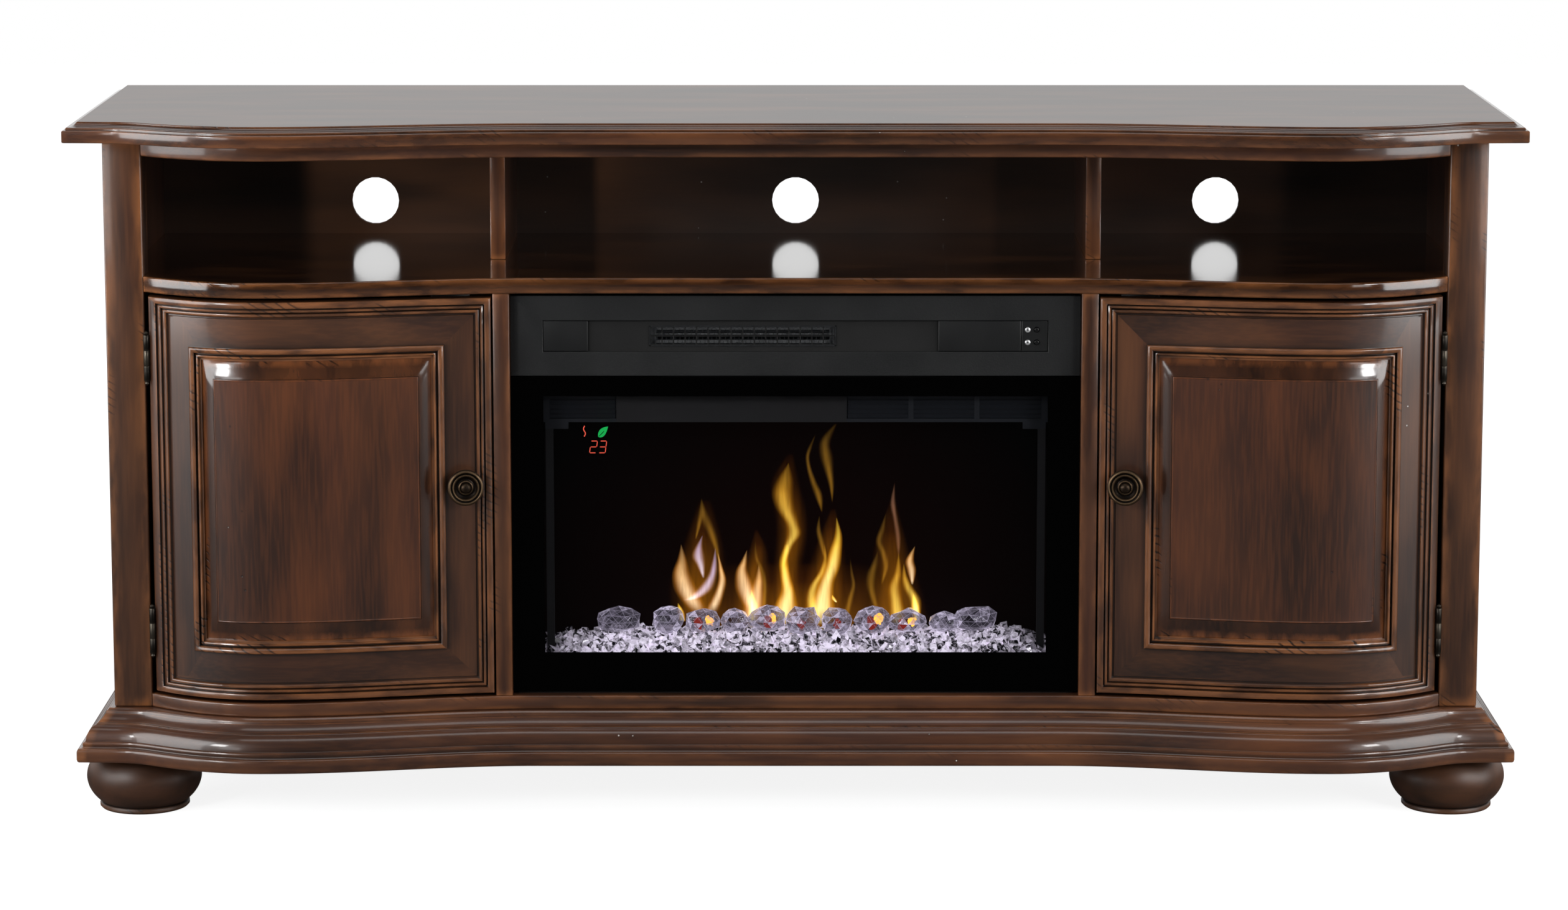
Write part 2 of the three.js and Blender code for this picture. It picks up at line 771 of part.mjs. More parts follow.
const controlFrom = slotHalf - seatGap - controlWidth;
const buttonX = slotHalf - buttonInset;
const buttonZs = [slotMiddle - buttonSpread / 2, slotMiddle + buttonSpread / 2];

// A block that cuts a window through a plate.
function window([x0, x1], [z0, z1], front, thick) {
  return block([x0, x1], [front - overrun, front + thick + overrun], [z0, z1]);
}

// The insert behind the slot, with its mesh field and the holes behind the buttons.
function ventInsert() {
  const pitchX = (meshLeft + meshRight) / meshColumns;
  const pitchZ = meshHeight / meshRows;
  const low = slotMiddle - meshHeight / 2;
  const gaps = [];
  for (let column = 0; column < meshColumns; column++) {
    for (let row = 0; row < meshRows; row++) {
      const [x, z] = [column * pitchX - meshLeft, low + row * pitchZ];
      gaps.push(window([x + meshWire / 2, x + pitchX - meshWire / 2],
        [z + meshWire / 2, z + pitchZ - meshWire / 2], housingFront, insertThick));
    }
  }
  const half = slotHalf + slotLap;
  const sheetPlate = plate(rect(-half, half, slotLow - slotLap, slotLow + slotHeight + slotLap), housingFront,
    insertThick, { holes: buttonZs.map((z) => circle(buttonX, z, buttonRadius + buttonClear, 12)) });
  return cut(sheetPlate, ...gaps);
}

// A raised cover in the slot, standing on the insert.
function slotCover(from, across, holes = []) {
  const [low, high] = [slotLow + seatGap, slotLow + slotHeight - seatGap];
  return plate(rect(from, from + across, low, high), housingFront - seatGap - coverThick, coverThick,
    { holes, arris: coverArris });
}

function controlPlate() {
  const hole = (z) => circle(buttonX, z, buttonRadius + buttonClear, 12);
  const face = housingFront - seatGap - coverThick;
  const screw = (z) => bar("y", screwRadius, [face - screwHead, face + coverThick / 2],
    [controlFrom + screwInset, 0, z], 10);
  return join(slotCover(controlFrom, controlWidth, buttonZs.map(hole)), ...buttonZs.map(screw));
}

function pushButton() {
  return bar("y", buttonRadius, [0, buttonLength], [0, 0, 0], 12);
}

// The tangential blower wheel, about its shaft, between the ends of the mesh field.
function blowerWheel() {
  const [from, to] = [-meshLeft, meshRight];
  const blades = Array.from({ length: wheelBlades }, (_, i) =>
    block([from + wheelDisc / 2, to - wheelDisc / 2], [-wheelBladeThick / 2, wheelBladeThick / 2],
      [wheelRadius - wheelBladeDepth, wheelRadius - wheelBladeThick])
      .rotateX((i / wheelBlades) * 2 * Math.PI));
  return join(
    bar("x", wheelRadius, [from, from + wheelDisc], [0, 0, 0], 20),
    bar("x", wheelRadius, [to - wheelDisc, to], [0, 0, 0], 20),
    bar("x", shaftRadius, [-bearingX, to + bearingThick], [0, 0, 0], 12),
    ...blades,
  );
}

// A motor on a foot, bored for a shaft end on its left.
function motor(radius, length, foot) {
  return cut(
    join(bar("x", radius, [0, length], [0, 0, 0], 18),
      block([0, length], [-radius / 2, radius / 2], [-foot, 0])),
    bar("x", shaftRadius + shaftClear, [-overrun, bearingThick], [0, 0, 0], 12),
  );
}

function heatingElement() {
  const high = housingHigh - sheet - seatGap;
  const [left, right] = [-meshLeft, meshRight];
  const pitch = (high - ductLow - heaterFrame) / heaterBars;
  const front = housingFront + heaterSetback;
  const slots = Array.from({ length: heaterBars }, (_, i) => {
    const low = ductLow + seatGap + heaterFrame + i * pitch;
    return window([left + heaterFrame, right - heaterFrame], [low, low + pitch - heaterFrame / 2], front,
      heaterThick);
  });
  return cut(block([left, right], [front, front + heaterThick], [ductLow + seatGap, high]), ...slots);
}

// The baffle across the top of the flame chamber, with blocks of louvre slots.
function louvrePanel() {
  const half = housingHalf - sheet - seatGap;
  const [low, high] = [trimZ - louvreDrop, trimZ - seatGap];
  const pitch = 2 * louvreSlotHeight;
  const front = housingFront + louvreSetback;
  const last = half - louvreInset - louvreBlock;
  const blocks = [louvreInset - half, ...spread(last, last - (louvreRightBlocks - 1) * louvrePitch,
    louvreRightBlocks - 1)];
  const slots = blocks.flatMap((x) => Array.from({ length: louvreSlots }, (_, i) =>
    window([x, x + louvreBlock], [low + (i + 1) * pitch, low + (i + 1) * pitch + louvreSlotHeight], front,
      louvreThick)));
  return cut(block([-half, half], [front, front + louvreThick], [low, high]), ...slots);
}

// A repeatable value from 0 to 1 for a whole number.
const scatter = (n) => Math.abs(Math.sin(n * 12.9898) * 43758.5453) % 1;

// The bed of crushed crystal, higher at the back, with larger rocks along it.
function emberBed() {
  const front = housingFront + screenGap;
  const xs = spread(-bedHalf, bedHalf, bedSteps);
  const rings = xs.map((x, i) => {
    const top = spread(0, 1, bedRows).map((share, row) => new THREE.Vector3(x, front + share * bedDepth,
      chamberLow + bedFront + share * (bedBack - bedFront) + bedLump * scatter(i * bedRows + row)));
    return [
      new THREE.Vector3(x, front, chamberLow), ...top, new THREE.Vector3(x, front + bedDepth, chamberLow),
    ];
  });
  const rocks = Array.from({ length: rockCount }, (_, i) => {
    const x = (i - (rockCount - 1) / 2) * (rockWidth + rockGap);
    const rock = new THREE.IcosahedronGeometry(1, 0).rotateX(i).rotateZ(2 * i);
    rock.scale(rockWidth / 2, (rockWidth * rockDepthShare) / 2, rockHeight / 2);
    return rock.translate(x, front + bedDepth * rockBackShare,
      chamberLow + (bedFront + bedBack) / 2 + rockHeight * rockRiseShare);
  });
  return join(loft(rings), ...rocks);
}

function flameScreen() {
  const half = housingHalf - sheet - seatGap;
  return block([-half, half], [screenY, screenY + screenThick], [chamberLow, trimZ - seatGap]);
}

// The flicker rotor: a shaft with reflecting paddles, each turned on from the last.
function flickerRotor() {
  const paddles = Array.from({ length: paddleCount }, (_, i) => {
    const x = ((i + 0.5) / paddleCount - 0.5) * 2 * (rotorEnd - bearingThick);
    return block([x - paddleWidth / 2, x + paddleWidth / 2], [-paddleThick / 2, paddleThick / 2],
      [-paddleHeight / 2, paddleHeight / 2]).rotateX(i * paddleTurn);
  });
  return join(bar("x", shaftRadius, [-rotorEnd - bearingThick, rotorEnd + bearingThick], [0, 0, 0], 12),
    ...paddles);
}

function ledBar() {
  const half = housingHalf - 2 * bearingWidth;
  return block([-half, half], [screenY + screenThick + seatGap, screenY + screenThick + seatGap + ledDepth],
    [chamberLow, chamberLow + ledHeight]);
}

const stand = new THREE.Group();

// Adds a named piece to a group.
function add(group, name, geometry, material, at = [0, 0, 0]) {
  const mesh = new THREE.Mesh(geometry, material);
  mesh.name = name;
  mesh.position.set(...at);
  group.add(mesh);
  return mesh;
}

// A group that sits on the front line at x, with its Z out of the face and its X along it.
function onFace(group, x, z, back) {
  const seat = new THREE.Group();
  seat.position.set(x, lineY(x) + back, z);
  seat.rotation.set(0, 0, Math.atan(lineSlope(x)));
  const face = new THREE.Group();
  face.rotation.x = Math.PI / 2;
  seat.add(face);
  group.add(seat);
  return face;
}

// The pieces of one side, in the right-hand half.
function addSide(side, sign) {
  const half = new THREE.Group();
  half.scale.x = sign;
  stand.add(half);
  add(half, `post_${side}`, post(), wood());
  add(half, `side_panel_${side}`, sidePanel(), wood());
  add(half, `base_moulding_${side}`, baseSide(), wood());
  add(half, `partition_${side}`, partition(), wood());
  add(half, `bay_divider_${side}`, bayDivider(), wood());
  add(half, `cupboard_shelf_${side}`, looseShelf(), insideWood());
  const footX = width / 2 - footInset;
  const foot = bunFoot();
  add(half, `bun_foot_front_${side}`, foot, wood(), [footX, postY - moulding + footSetback, 0]);
  add(half, `bun_foot_rear_${side}`, foot, wood(), [footX, backY - footSetback, 0]);
  add(half, `door_frame_${side}`, doorFrame(), wood());
  add(half, `door_panel_${side}`, doorPanel(), panelWood());
  const knobFace = onFace(half, doorInner + knobInset, doorLow + knobRise, flatDrop - 2 * seatGap);
  add(knobFace, `knob_${side}`, knob(), bronze());
  const hinges = [["lower", doorLow + hingeInset], ["upper", doorHigh - hingeInset]];
  for (const [level, z] of hinges) {
    add(half, `hinge_post_leaf_${side}_${level}`, postLeaf(), bronze(), [hingeX, hingeY, z]);
    add(half, `hinge_door_leaf_${side}_${level}`, doorLeaf(), bronze(), [hingeX, hingeY, z]);
  }
  const catchFace = onFace(half, doorInner + catchInset, shelfZ, doorThick + 2 * seatGap);
  const strikeLow = doorGapAbove + strikeDrop;
  add(catchFace, `strike_plate_${side}`, block([-catchLength / 2, catchLength / 2],
    [-strikeLow - strikeHeight, -strikeLow], [-strikeThick, 0]), zinc());
  add(catchFace, `magnetic_catch_${side}`, block([-catchLength / 2, catchLength / 2],
    [-strikeLow - catchHeight, -seatGap], [-strikeThick - seatGap - catchDepth, -strikeThick - seatGap]),
  blackPlastic());
}

add(stand, "top_panel", topPanel(), wood());
add(stand, "top_apron", apron(), wood());
add(stand, "media_shelf", mediaShelf(), wood());
add(stand, "bottom_rail", bottomRail(), wood());
add(stand, "cabinet_floor", cabinetFloor(), insideWood());
add(stand, "base_moulding_front", baseFront(), wood());
add(stand, "base_rear_rail", baseRear(), wood());
add(stand, "back_panel", backPanel(), insideWood());
addSide("left", -1);
addSide("right", 1);

add(stand, "firebox_housing", firebox(), blackSteel());
add(stand, "firebox_trim", fireTrim(), blackSteel());
add(stand, "firebox_glass", fireGlass(), finish(0x08090b, 0.05, 0, { transparent: true, opacity: 0.4 }));
add(stand, "vent_grille", ventInsert(), blackSteel());
add(stand, "vent_cover_left", slotCover(-slotHalf + seatGap, coverLeftWidth), blackPlastic());
add(stand, "vent_cover_right", slotCover(controlFrom - coverClear - coverRightWidth, coverRightWidth),
  blackPlastic());
add(stand, "control_plate", controlPlate(), blackSteel());
["lower", "upper"].forEach((level, i) => {
  const front = housingFront - seatGap - coverThick - buttonProud;
  add(stand, `push_button_${level}`, pushButton(), blackPlastic(), [buttonX, front, buttonZs[i]]);
});
add(stand, "blower_wheel", blowerWheel(), zinc(), [0, wheelY, wheelZ]);
add(stand, "blower_motor", motor(motorRadius, motorLength, wheelZ - ductLow), zinc(),
  [meshRight + shaftRadius, wheelY, wheelZ]);
add(stand, "heating_element", heatingElement(), zinc());
add(stand, "louvre_panel", louvrePanel(), blackSteel());
add(stand, "ember_bed", emberBed(), finish(0xc9c4d4, 0.1));
add(stand, "flame_screen", flameScreen(), finish(0x1a1210, 0.2, 0, { transparent: true, opacity: 0.6 }));
add(stand, "flicker_rotor", flickerRotor(), zinc(), [0, rotorY, rotorZ]);
add(stand, "flicker_motor", motor(flickerMotorRadius, flickerMotorLength, rotorZ - chamberLow), zinc(),
  [rotorEnd + shaftRadius, rotorY, rotorZ]);
add(stand, "led_bar", ledBar(), blackPlastic());

export default stand;
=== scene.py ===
"""Looks for the fireplace TV stand: stained and rubbed cherry, aged bronze, powder-coated steel,
glass, crushed crystal and a flame image. Everything is in metres in the frame of the CAD model,
where the front faces -Y."""
import math
import random

import bmesh
import bpy
from mathutils import Matrix, Vector, noise as ripple


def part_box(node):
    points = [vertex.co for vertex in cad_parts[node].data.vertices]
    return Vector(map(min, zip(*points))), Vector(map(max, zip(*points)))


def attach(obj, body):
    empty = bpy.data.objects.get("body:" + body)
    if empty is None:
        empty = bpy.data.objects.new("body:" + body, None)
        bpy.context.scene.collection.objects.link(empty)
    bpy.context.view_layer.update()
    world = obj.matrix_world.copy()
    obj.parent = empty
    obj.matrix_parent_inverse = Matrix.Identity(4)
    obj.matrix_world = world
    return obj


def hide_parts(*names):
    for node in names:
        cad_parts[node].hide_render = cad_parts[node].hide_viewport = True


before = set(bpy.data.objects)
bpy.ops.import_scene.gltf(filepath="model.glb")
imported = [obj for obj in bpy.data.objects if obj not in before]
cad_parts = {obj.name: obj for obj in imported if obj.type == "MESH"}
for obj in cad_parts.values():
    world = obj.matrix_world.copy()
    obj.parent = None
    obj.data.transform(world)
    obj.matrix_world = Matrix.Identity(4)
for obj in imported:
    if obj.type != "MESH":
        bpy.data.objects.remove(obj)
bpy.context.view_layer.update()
SIDES = {"left": -1, "right": 1}
MERGE = 1e-6
SHARP_TURN = math.radians(38)

# Places that come from the CAD model
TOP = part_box("top_panel")
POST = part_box("post_right")
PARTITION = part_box("partition_right")
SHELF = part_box("media_shelf")
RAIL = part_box("bottom_rail")
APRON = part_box("top_apron")
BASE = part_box("base_moulding_front")
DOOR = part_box("door_frame_right")
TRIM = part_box("firebox_trim")
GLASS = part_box("firebox_glass")
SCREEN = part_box("flame_screen")
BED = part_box("ember_bed")
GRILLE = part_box("vent_grille")
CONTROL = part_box("control_plate")
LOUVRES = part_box("louvre_panel")

# The plan line of the front: flat in the middle, a forward bow, and a fall to each post
POST_INNER = POST[0].x
POST_OUTER = POST[1].x
POST_Y = POST[0].y
CREST_Y = APRON[0].y
MIDDLE_Y = PARTITION[0].y
MOULDING = TOP[1].x - POST_OUTER
PARTITION_THICK = 0.019
PARTITION_OUTER = PARTITION[0].x + PARTITION_THICK
FLAT_INSET = 0.031
FLAT_HALF = TRIM[1].x - FLAT_INSET
CREST_SHARE = 0.665
CREST_X = PARTITION_OUTER + CREST_SHARE * (POST_INNER - PARTITION_OUTER)
EAR_FILLET = 0.014
EAR_RUN = 0.024
BACK_Y = TOP[1].y
CARCASS_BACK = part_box("base_moulding_right")[1].y
BASE_INNER = 0.05
GAP = 0.0003

# Edge profiles in shares: out from the post faces, and up
TOP_EDGE = [
    (0.95, 0), (0.985, 0.02), (1, 0.07), (1, 0.54), (0.993, 0.585), (0.977, 0.61), (0.955, 0.622),
    (0.922, 0.625), (0.914, 0.608), (0.902, 0.608), (0.896, 0.63), (0.9, 0.68), (0.894, 0.722),
    (0.878, 0.75), (0.855, 0.762), (0.81, 0.768), (0.76, 0.78), (0.715, 0.802), (0.68, 0.835),
    (0.655, 0.878), (0.64, 0.925), (0.634, 0.953), (0.614, 0.958), (0.61, 0.985), (0.6, 1),
]
BASE_EDGE = [
    (0.88, 0), (0.95, 0.012), (0.985, 0.037), (1, 0.075), (1, 0.216), (0.993, 0.25), (0.972, 0.277),
    (0.94, 0.288), (0.868, 0.291), (0.852, 0.303), (0.84, 0.303), (0.832, 0.32), (0.842, 0.345),
    (0.842, 0.372), (0.828, 0.395), (0.79, 0.404), (0.775, 0.415), (0.764, 0.415), (0.758, 0.44),
    (0.742, 0.5), (0.712, 0.56), (0.668, 0.615), (0.61, 0.66), (0.545, 0.693), (0.488, 0.706),
    (0.476, 0.718), (0.462, 0.714), (0.458, 0.735), (0.44, 0.74), (0.428, 0.732), (0.424, 0.756),
    (0.392, 0.772), (0.345, 0.8), (0.3, 0.838), (0.262, 0.878), (0.245, 0.9), (0.236, 0.893),
    (0.226, 0.905), (0.226, 0.935), (0.208, 0.955), (0.18, 0.96), (0.172, 0.97), (0.127, 1),
]


def linear(code):
    """The linear colour of an sRGB hex value."""
    parts = [int(code[i:i + 2], 16) / 255 for i in (1, 3, 5)]
    return (*[c / 12.92 if c <= 0.04045 else ((c + 0.055) / 1.055) ** 2.4 for c in parts], 1.0)


def node(tree, kind, inputs=(), **settings):
    """Adds a node with its settings. Its inputs come in order or by name, and each is a value, a socket
    to link from, or a node, whose first output in use is linked."""
    made = tree.nodes.new("ShaderNode" + kind)
    for name, value in settings.items():
        setattr(made, name, value)
    for name, value in inputs.items() if isinstance(inputs, dict) else enumerate(inputs):
        if isinstance(value, bpy.types.Node):
            value = next(socket for socket in value.outputs if socket.enabled)
        if isinstance(value, bpy.types.NodeSocket):
            tree.links.new(value, made.inputs[name])
        else:
            made.inputs[name].default_value = value
    return made


def blank(name):
    """A material with an empty node tree."""
    made = bpy.data.materials.new(name)
    made.use_nodes = True
    made.node_tree.nodes.clear()
    return made, made.node_tree


def painted(tree, ground, coats):
    """Lays coats over a ground: where each coat lies, how strongly, and its colour."""
    ground = linear(ground)
    for where, strength, colour in coats:
        if strength != 1:
            where = node(tree, "Math", [where, strength], operation="MULTIPLY")
        ground = node(tree, "Mix", {0: where, 6: ground, 7: linear(colour)}, data_type="RGBA")
    return ground


def clouded(tree, size, grain, low, high, detail=2.0, distortion=0.0, least=0.0):
    """Soft clouds of a size in metres across and along the grain, cut off at a low and a high level."""
    across, along = size
    scale = [1 / (along if axis == grain else across) for axis in "xyz"]
    place = node(tree, "TexCoord").outputs["Object"]
    place = node(tree, "Mapping", {"Vector": place, "Scale": scale}, vector_type="POINT")
    cloud = node(tree, "TexNoise", {"Vector": place, "Scale": 1.0, "Detail": detail,
                                    "Distortion": distortion})
    return node(tree, "MapRange", [cloud, low, high, least, 1.0])


# Sizes of the wood's patterns in metres, across and along the grain. Real fibres are thinner than these,
# which are as coarse as they need to be to show
SMOKE_CLOUD = (0.08, 0.2)
WARM_CLOUD = (0.05, 0.18)
FIBRE = (0.003, 0.05)
RUB_PATCH = (0.012, 0.05)
NICK_ZONE = (0.03, 0.09)
# How far the dark in the hollows reaches: glaze in the quirks, and painted shade on the flats near the
# mouldings
GLAZE_AND_SHADE_REACH = 0.01
# Scales to a metre: dents 14 mm apart, in groups of 140 mm, and nicks 7.5 mm apart, because a wave
# pattern has 3.2 waves where the others have one
DENTS = 70.0
DENT_GROUPS = 7.0
NICKS = 42.0
# Patina in spots of 6 mm, and gloss that changes over 70 mm
PATINA_SPOTS = 180.0
GLOSS_CLOUDS = 14.0
# Veins of 6 mm in the chips, and dents of 8 mm and clouds of 7 mm in the boulders
CHIP_VEINS = 160.0
BOULDER_DENTS = 120.0
BOULDER_CLOUDS = 150.0
# Wisps of the flame image, across and up
WISP = (0.006, 0.05)


def stained_wood(name, grain, dark, mid, light, gloss=0.33, wear=1.0, figure=0.06, coat=0.6, cloud=0.06,
                 streak=0.07, reach=0.009):
    """Cherry under a wiped dark glaze and satin lacquer: it is black in the quirks, from the glaze and from
    painted shade that also darkens the flats near the mouldings, rubbed to amber on the arrises, and
    clouded by the glaze, with fibres, small dents that hold a painted glint in a ring of painted shade, and
    groups of short nicks."""
    made, tree = blank(name)
    bands = clouded(tree, (figure, 5 * figure), grain, 0.26, 0.74, 2, 0.3)
    smoke = clouded(tree, SMOKE_CLOUD, grain, 0.42, 0.8, 2, 0.3)
    warm = clouded(tree, WARM_CLOUD, grain, 0.46, 0.8, 1, 0.2)
    fibre = clouded(tree, FIBRE, grain, 0.42, 0.62)

    edge = node(tree, "AmbientOcclusion", {"Distance": reach}, samples=5, inside=True, only_local=True)
    soft = node(tree, "MapRange", [edge.outputs["AO"], 1.0, 0.7, 0, 0.35])
    arris = node(tree, "MapRange", [edge.outputs["AO"], 0.86, 0.52])
    patch = clouded(tree, RUB_PATCH, grain, 0.38, 0.6, 3, least=0.2)
    rub = node(tree, "Math", [soft, arris], operation="MAXIMUM")
    rub = node(tree, "Math", [rub, patch], operation="MULTIPLY")
    # Dark in the hollows: the glaze in the quirks, and painted shade on the flats near a raised moulding
    hollow = node(tree, "AmbientOcclusion", {"Distance": GLAZE_AND_SHADE_REACH}, samples=5, only_local=True)
    glaze_and_shade = node(tree, "MapRange", [hollow.outputs["AO"], 0.92, 0.5])

    place = node(tree, "TexCoord").outputs["Object"]
    cells = node(tree, "TexVoronoi", {"Vector": place, "Scale": DENTS, "Randomness": 1.0})
    chance = node(tree, "SeparateColor", [cells.outputs["Color"]])
    group = node(tree, "TexNoise", {"Vector": place, "Scale": DENT_GROUPS, "Detail": 1.0})
    group = node(tree, "Math", [group, 0.63], operation="GREATER_THAN")
    picked = node(tree, "Math", [chance.outputs["Red"], 0.62], operation="GREATER_THAN")
    group = node(tree, "Math", [group, picked], operation="MULTIPLY")
    # Dents: a pale painted glint in each, and a ring of painted shade round it
    dent = node(tree, "MapRange", [cells.outputs["Distance"], 0.08, 0.05])
    dent = node(tree, "Math", [dent, group], operation="MULTIPLY")
    dent_shade_ring = node(tree, "MapRange", [cells.outputs["Distance"], 0.14, 0.08])
    dent_shade_ring = node(tree, "Math", [dent_shade_ring, group], operation="MULTIPLY")
    # The pale colour in a dent is a painted glint
    pale = node(tree, "MapRange", [chance.outputs["Green"], 0.2, 0.6, 0.0, 0.8])
    pale = node(tree, "Math", [dent, pale], operation="MULTIPLY")
    slant = node(tree, "Mapping", {"Vector": place, "Rotation": (0.5, 0.9, 0.6)}, vector_type="POINT")
    wave = node(tree, "TexWave", {"Vector": slant, "Scale": NICKS, "Distortion": 1.5, "Detail": 1.0},
                bands_direction="X")
    nick = node(tree, "MapRange", [wave.outputs["Fac"], 0.82, 0.93])
    for share in (clouded(tree, NICK_ZONE, grain, 0.62, 0.66, 1), arris):
        nick = node(tree, "Math", [nick, share], operation="MULTIPLY")

    body = painted(tree, dark, [
        (bands, 1, mid), (warm, 0.34, light), (smoke, 0.6, dark), (fibre, streak, light),
        (rub, wear, light), (glaze_and_shade, 0.95, "#0b0503"), (dent_shade_ring, 0.7, "#120805"), (pale, 1, "#d8cec6"),
        (nick, 0.95, "#0e0704"),
    ])
    ridge = node(tree, "Math", [fibre, 0.05], operation="MULTIPLY")
    pit = node(tree, "Math", [dent, nick], operation="ADD")
    height = node(tree, "Math", [ridge, pit], operation="SUBTRACT")
    bump = node(tree, "Bump", {"Height": height, "Strength": 0.35, "Distance": 0.0006})
    rough = node(tree, "MapRange", [smoke, 0, 1, gloss, gloss + cloud])
    lacquer = node(tree, "BsdfPrincipled", {"Base Color": body, "Roughness": rough, "IOR": 1.5,
                                            "Normal": bump, "Coat Weight": coat, "Coat Roughness": 0.1})
    node(tree, "OutputMaterial", {"Surface": lacquer})
    return made


def aged_metal(name, base, rubbed, dirt, rough=0.36):
    """Plated metal that has aged: a dark patina in the turns, and a brighter metal where hands rub it."""
    made, tree = blank(name)
    place = node(tree, "TexCoord").outputs["Object"]
    spots = node(tree, "TexNoise", {"Vector": place, "Scale": PATINA_SPOTS, "Detail": 4.0})
    spots = node(tree, "MapRange", [spots, 0.35, 0.65])
    edge = node(tree, "AmbientOcclusion", {"Distance": 0.003}, samples=5, inside=True, only_local=True)
    rub = node(tree, "MapRange", [edge.outputs["AO"], 0.95, 0.5])
    hollow = node(tree, "AmbientOcclusion", {"Distance": 0.004}, samples=5, only_local=True)
    turn = node(tree, "MapRange", [hollow.outputs["AO"], 0.9, 0.5])
    body = painted(tree, base, [(spots, 1, dirt), (rub, 1, rubbed), (turn, 1, dirt)])
    rough = node(tree, "MapRange", [spots, 0, 1, rough, rough + 0.18])
    plate = node(tree, "BsdfPrincipled", {"Base Color": body, "Metallic": 0.85, "Roughness": rough})
    node(tree, "OutputMaterial", {"Surface": plate})
    return made


def coated(name, base, speck, rough, grain_mm, relief, metallic=0.0):
    """A moulded or powder-coated surface: one colour broken by a fine orange-peel relief, which is drawn
    coarser than the real one, so that it shows."""
    made, tree = blank(name)
    place = node(tree, "TexCoord").outputs["Object"]
    fine = node(tree, "TexNoise", {"Vector": place, "Scale": 1000 / grain_mm, "Detail": 3.0})
    broad = node(tree, "TexNoise", {"Vector": place, "Scale": GLOSS_CLOUDS, "Detail": 2.0})
    body = painted(tree, base, [(node(tree, "MapRange", [fine, 0.4, 0.7]), 1, speck)])
    bump = node(tree, "Bump", {"Height": fine, "Strength": relief, "Distance": 0.0004})
    rough = node(tree, "MapRange", [broad, 0.3, 0.7, rough, rough + 0.1])
    powder = node(tree, "BsdfPrincipled", {"Base Color": body, "Metallic": metallic, "Roughness": rough,
                                           "Normal": bump})
    node(tree, "OutputMaterial", {"Surface": powder})
    return made


def lit(name, colour, strength):
    """A lamp-like surface of one colour, such as a display segment."""
    made, tree = blank(name)
    glow = node(tree, "Emission", {"Color": linear(colour), "Strength": strength})
    node(tree, "OutputMaterial", {"Surface": glow})
    return made


def front_glass():
    """Tempered glass with a black printed border round a clear window, and a low-reflection face."""
    made, tree = blank("tempered_glass_black_border")
    place = node(tree, "SeparateXYZ", [node(tree, "TexCoord").outputs["Object"]])
    across = node(tree, "Math", [place.outputs["X"]], operation="ABSOLUTE")
    within = node(tree, "Math", [across, WINDOW_HALF], operation="LESS_THAN")
    over = node(tree, "Math", [place.outputs["Z"], WINDOW_LOW], operation="GREATER_THAN")
    under = node(tree, "Math", [place.outputs["Z"], WINDOW_HIGH], operation="LESS_THAN")
    window = node(tree, "Math", [over, under], operation="MULTIPLY")
    window = node(tree, "Math", [within, window], operation="MULTIPLY")
    print_black = node(tree, "BsdfPrincipled", {"Base Color": linear("#010101"), "Roughness": 0.12,
                                                "Specular IOR Level": 0.06})
    clear = node(tree, "BsdfTransparent", [linear("#f6f6f8")])
    shine = node(tree, "BsdfGlossy", {"Color": linear("#ffffff"), "Roughness": 0.02})
    glance = node(tree, "Math", [node(tree, "Fresnel", {"IOR": 1.2}), 0.5], operation="MULTIPLY")
    pane = node(tree, "MixShader", [glance, clear, shine])
    node(tree, "OutputMaterial", {"Surface": node(tree, "MixShader", [window, print_black, pane])})
    return made


def crystal(name, low, high, glow):
    """Crushed clear acrylic. The light of the LEDs under the bed is painted in as a glow, dimmer towards
    the ends of the bed, and the mesh carries a shade for each facet: painted reflections, bright on some
    facets and dark on others.
    """
    made, tree = blank(name)
    facet = node(tree, "Attribute", attribute_name="shade").outputs["Fac"]
    place = node(tree, "TexCoord").outputs["Object"]
    vein = node(tree, "TexNoise", {"Vector": place, "Scale": CHIP_VEINS, "Detail": 2.0,
                                   "Distortion": 1.5})
    vein = node(tree, "MapRange", [vein, 0.35, 0.65, -0.25, 0.25])
    tone = node(tree, "Math", [facet, vein], operation="ADD")
    tone = node(tree, "MapRange", [tone, 0, 1])
    # Painted falloff: the glow is dimmer towards the ends of the bed
    across = node(tree, "SeparateXYZ", [place]).outputs["X"]
    across = node(tree, "Math", [across], operation="ABSOLUTE")
    side = node(tree, "MapRange", [across, 0.215, 0.285, 1, 0.12])
    light = node(tree, "Math", [side, glow], operation="MULTIPLY")
    body = painted(tree, low, [(tone, 1, high)])
    # The chips emit their own colour as a painted glow
    acrylic = node(tree, "BsdfPrincipled", {"Base Color": body, "Roughness": 0.1, "IOR": 1.49,
                                            "Emission Color": body, "Emission Strength": light})
    node(tree, "OutputMaterial", {"Surface": acrylic})
    return made


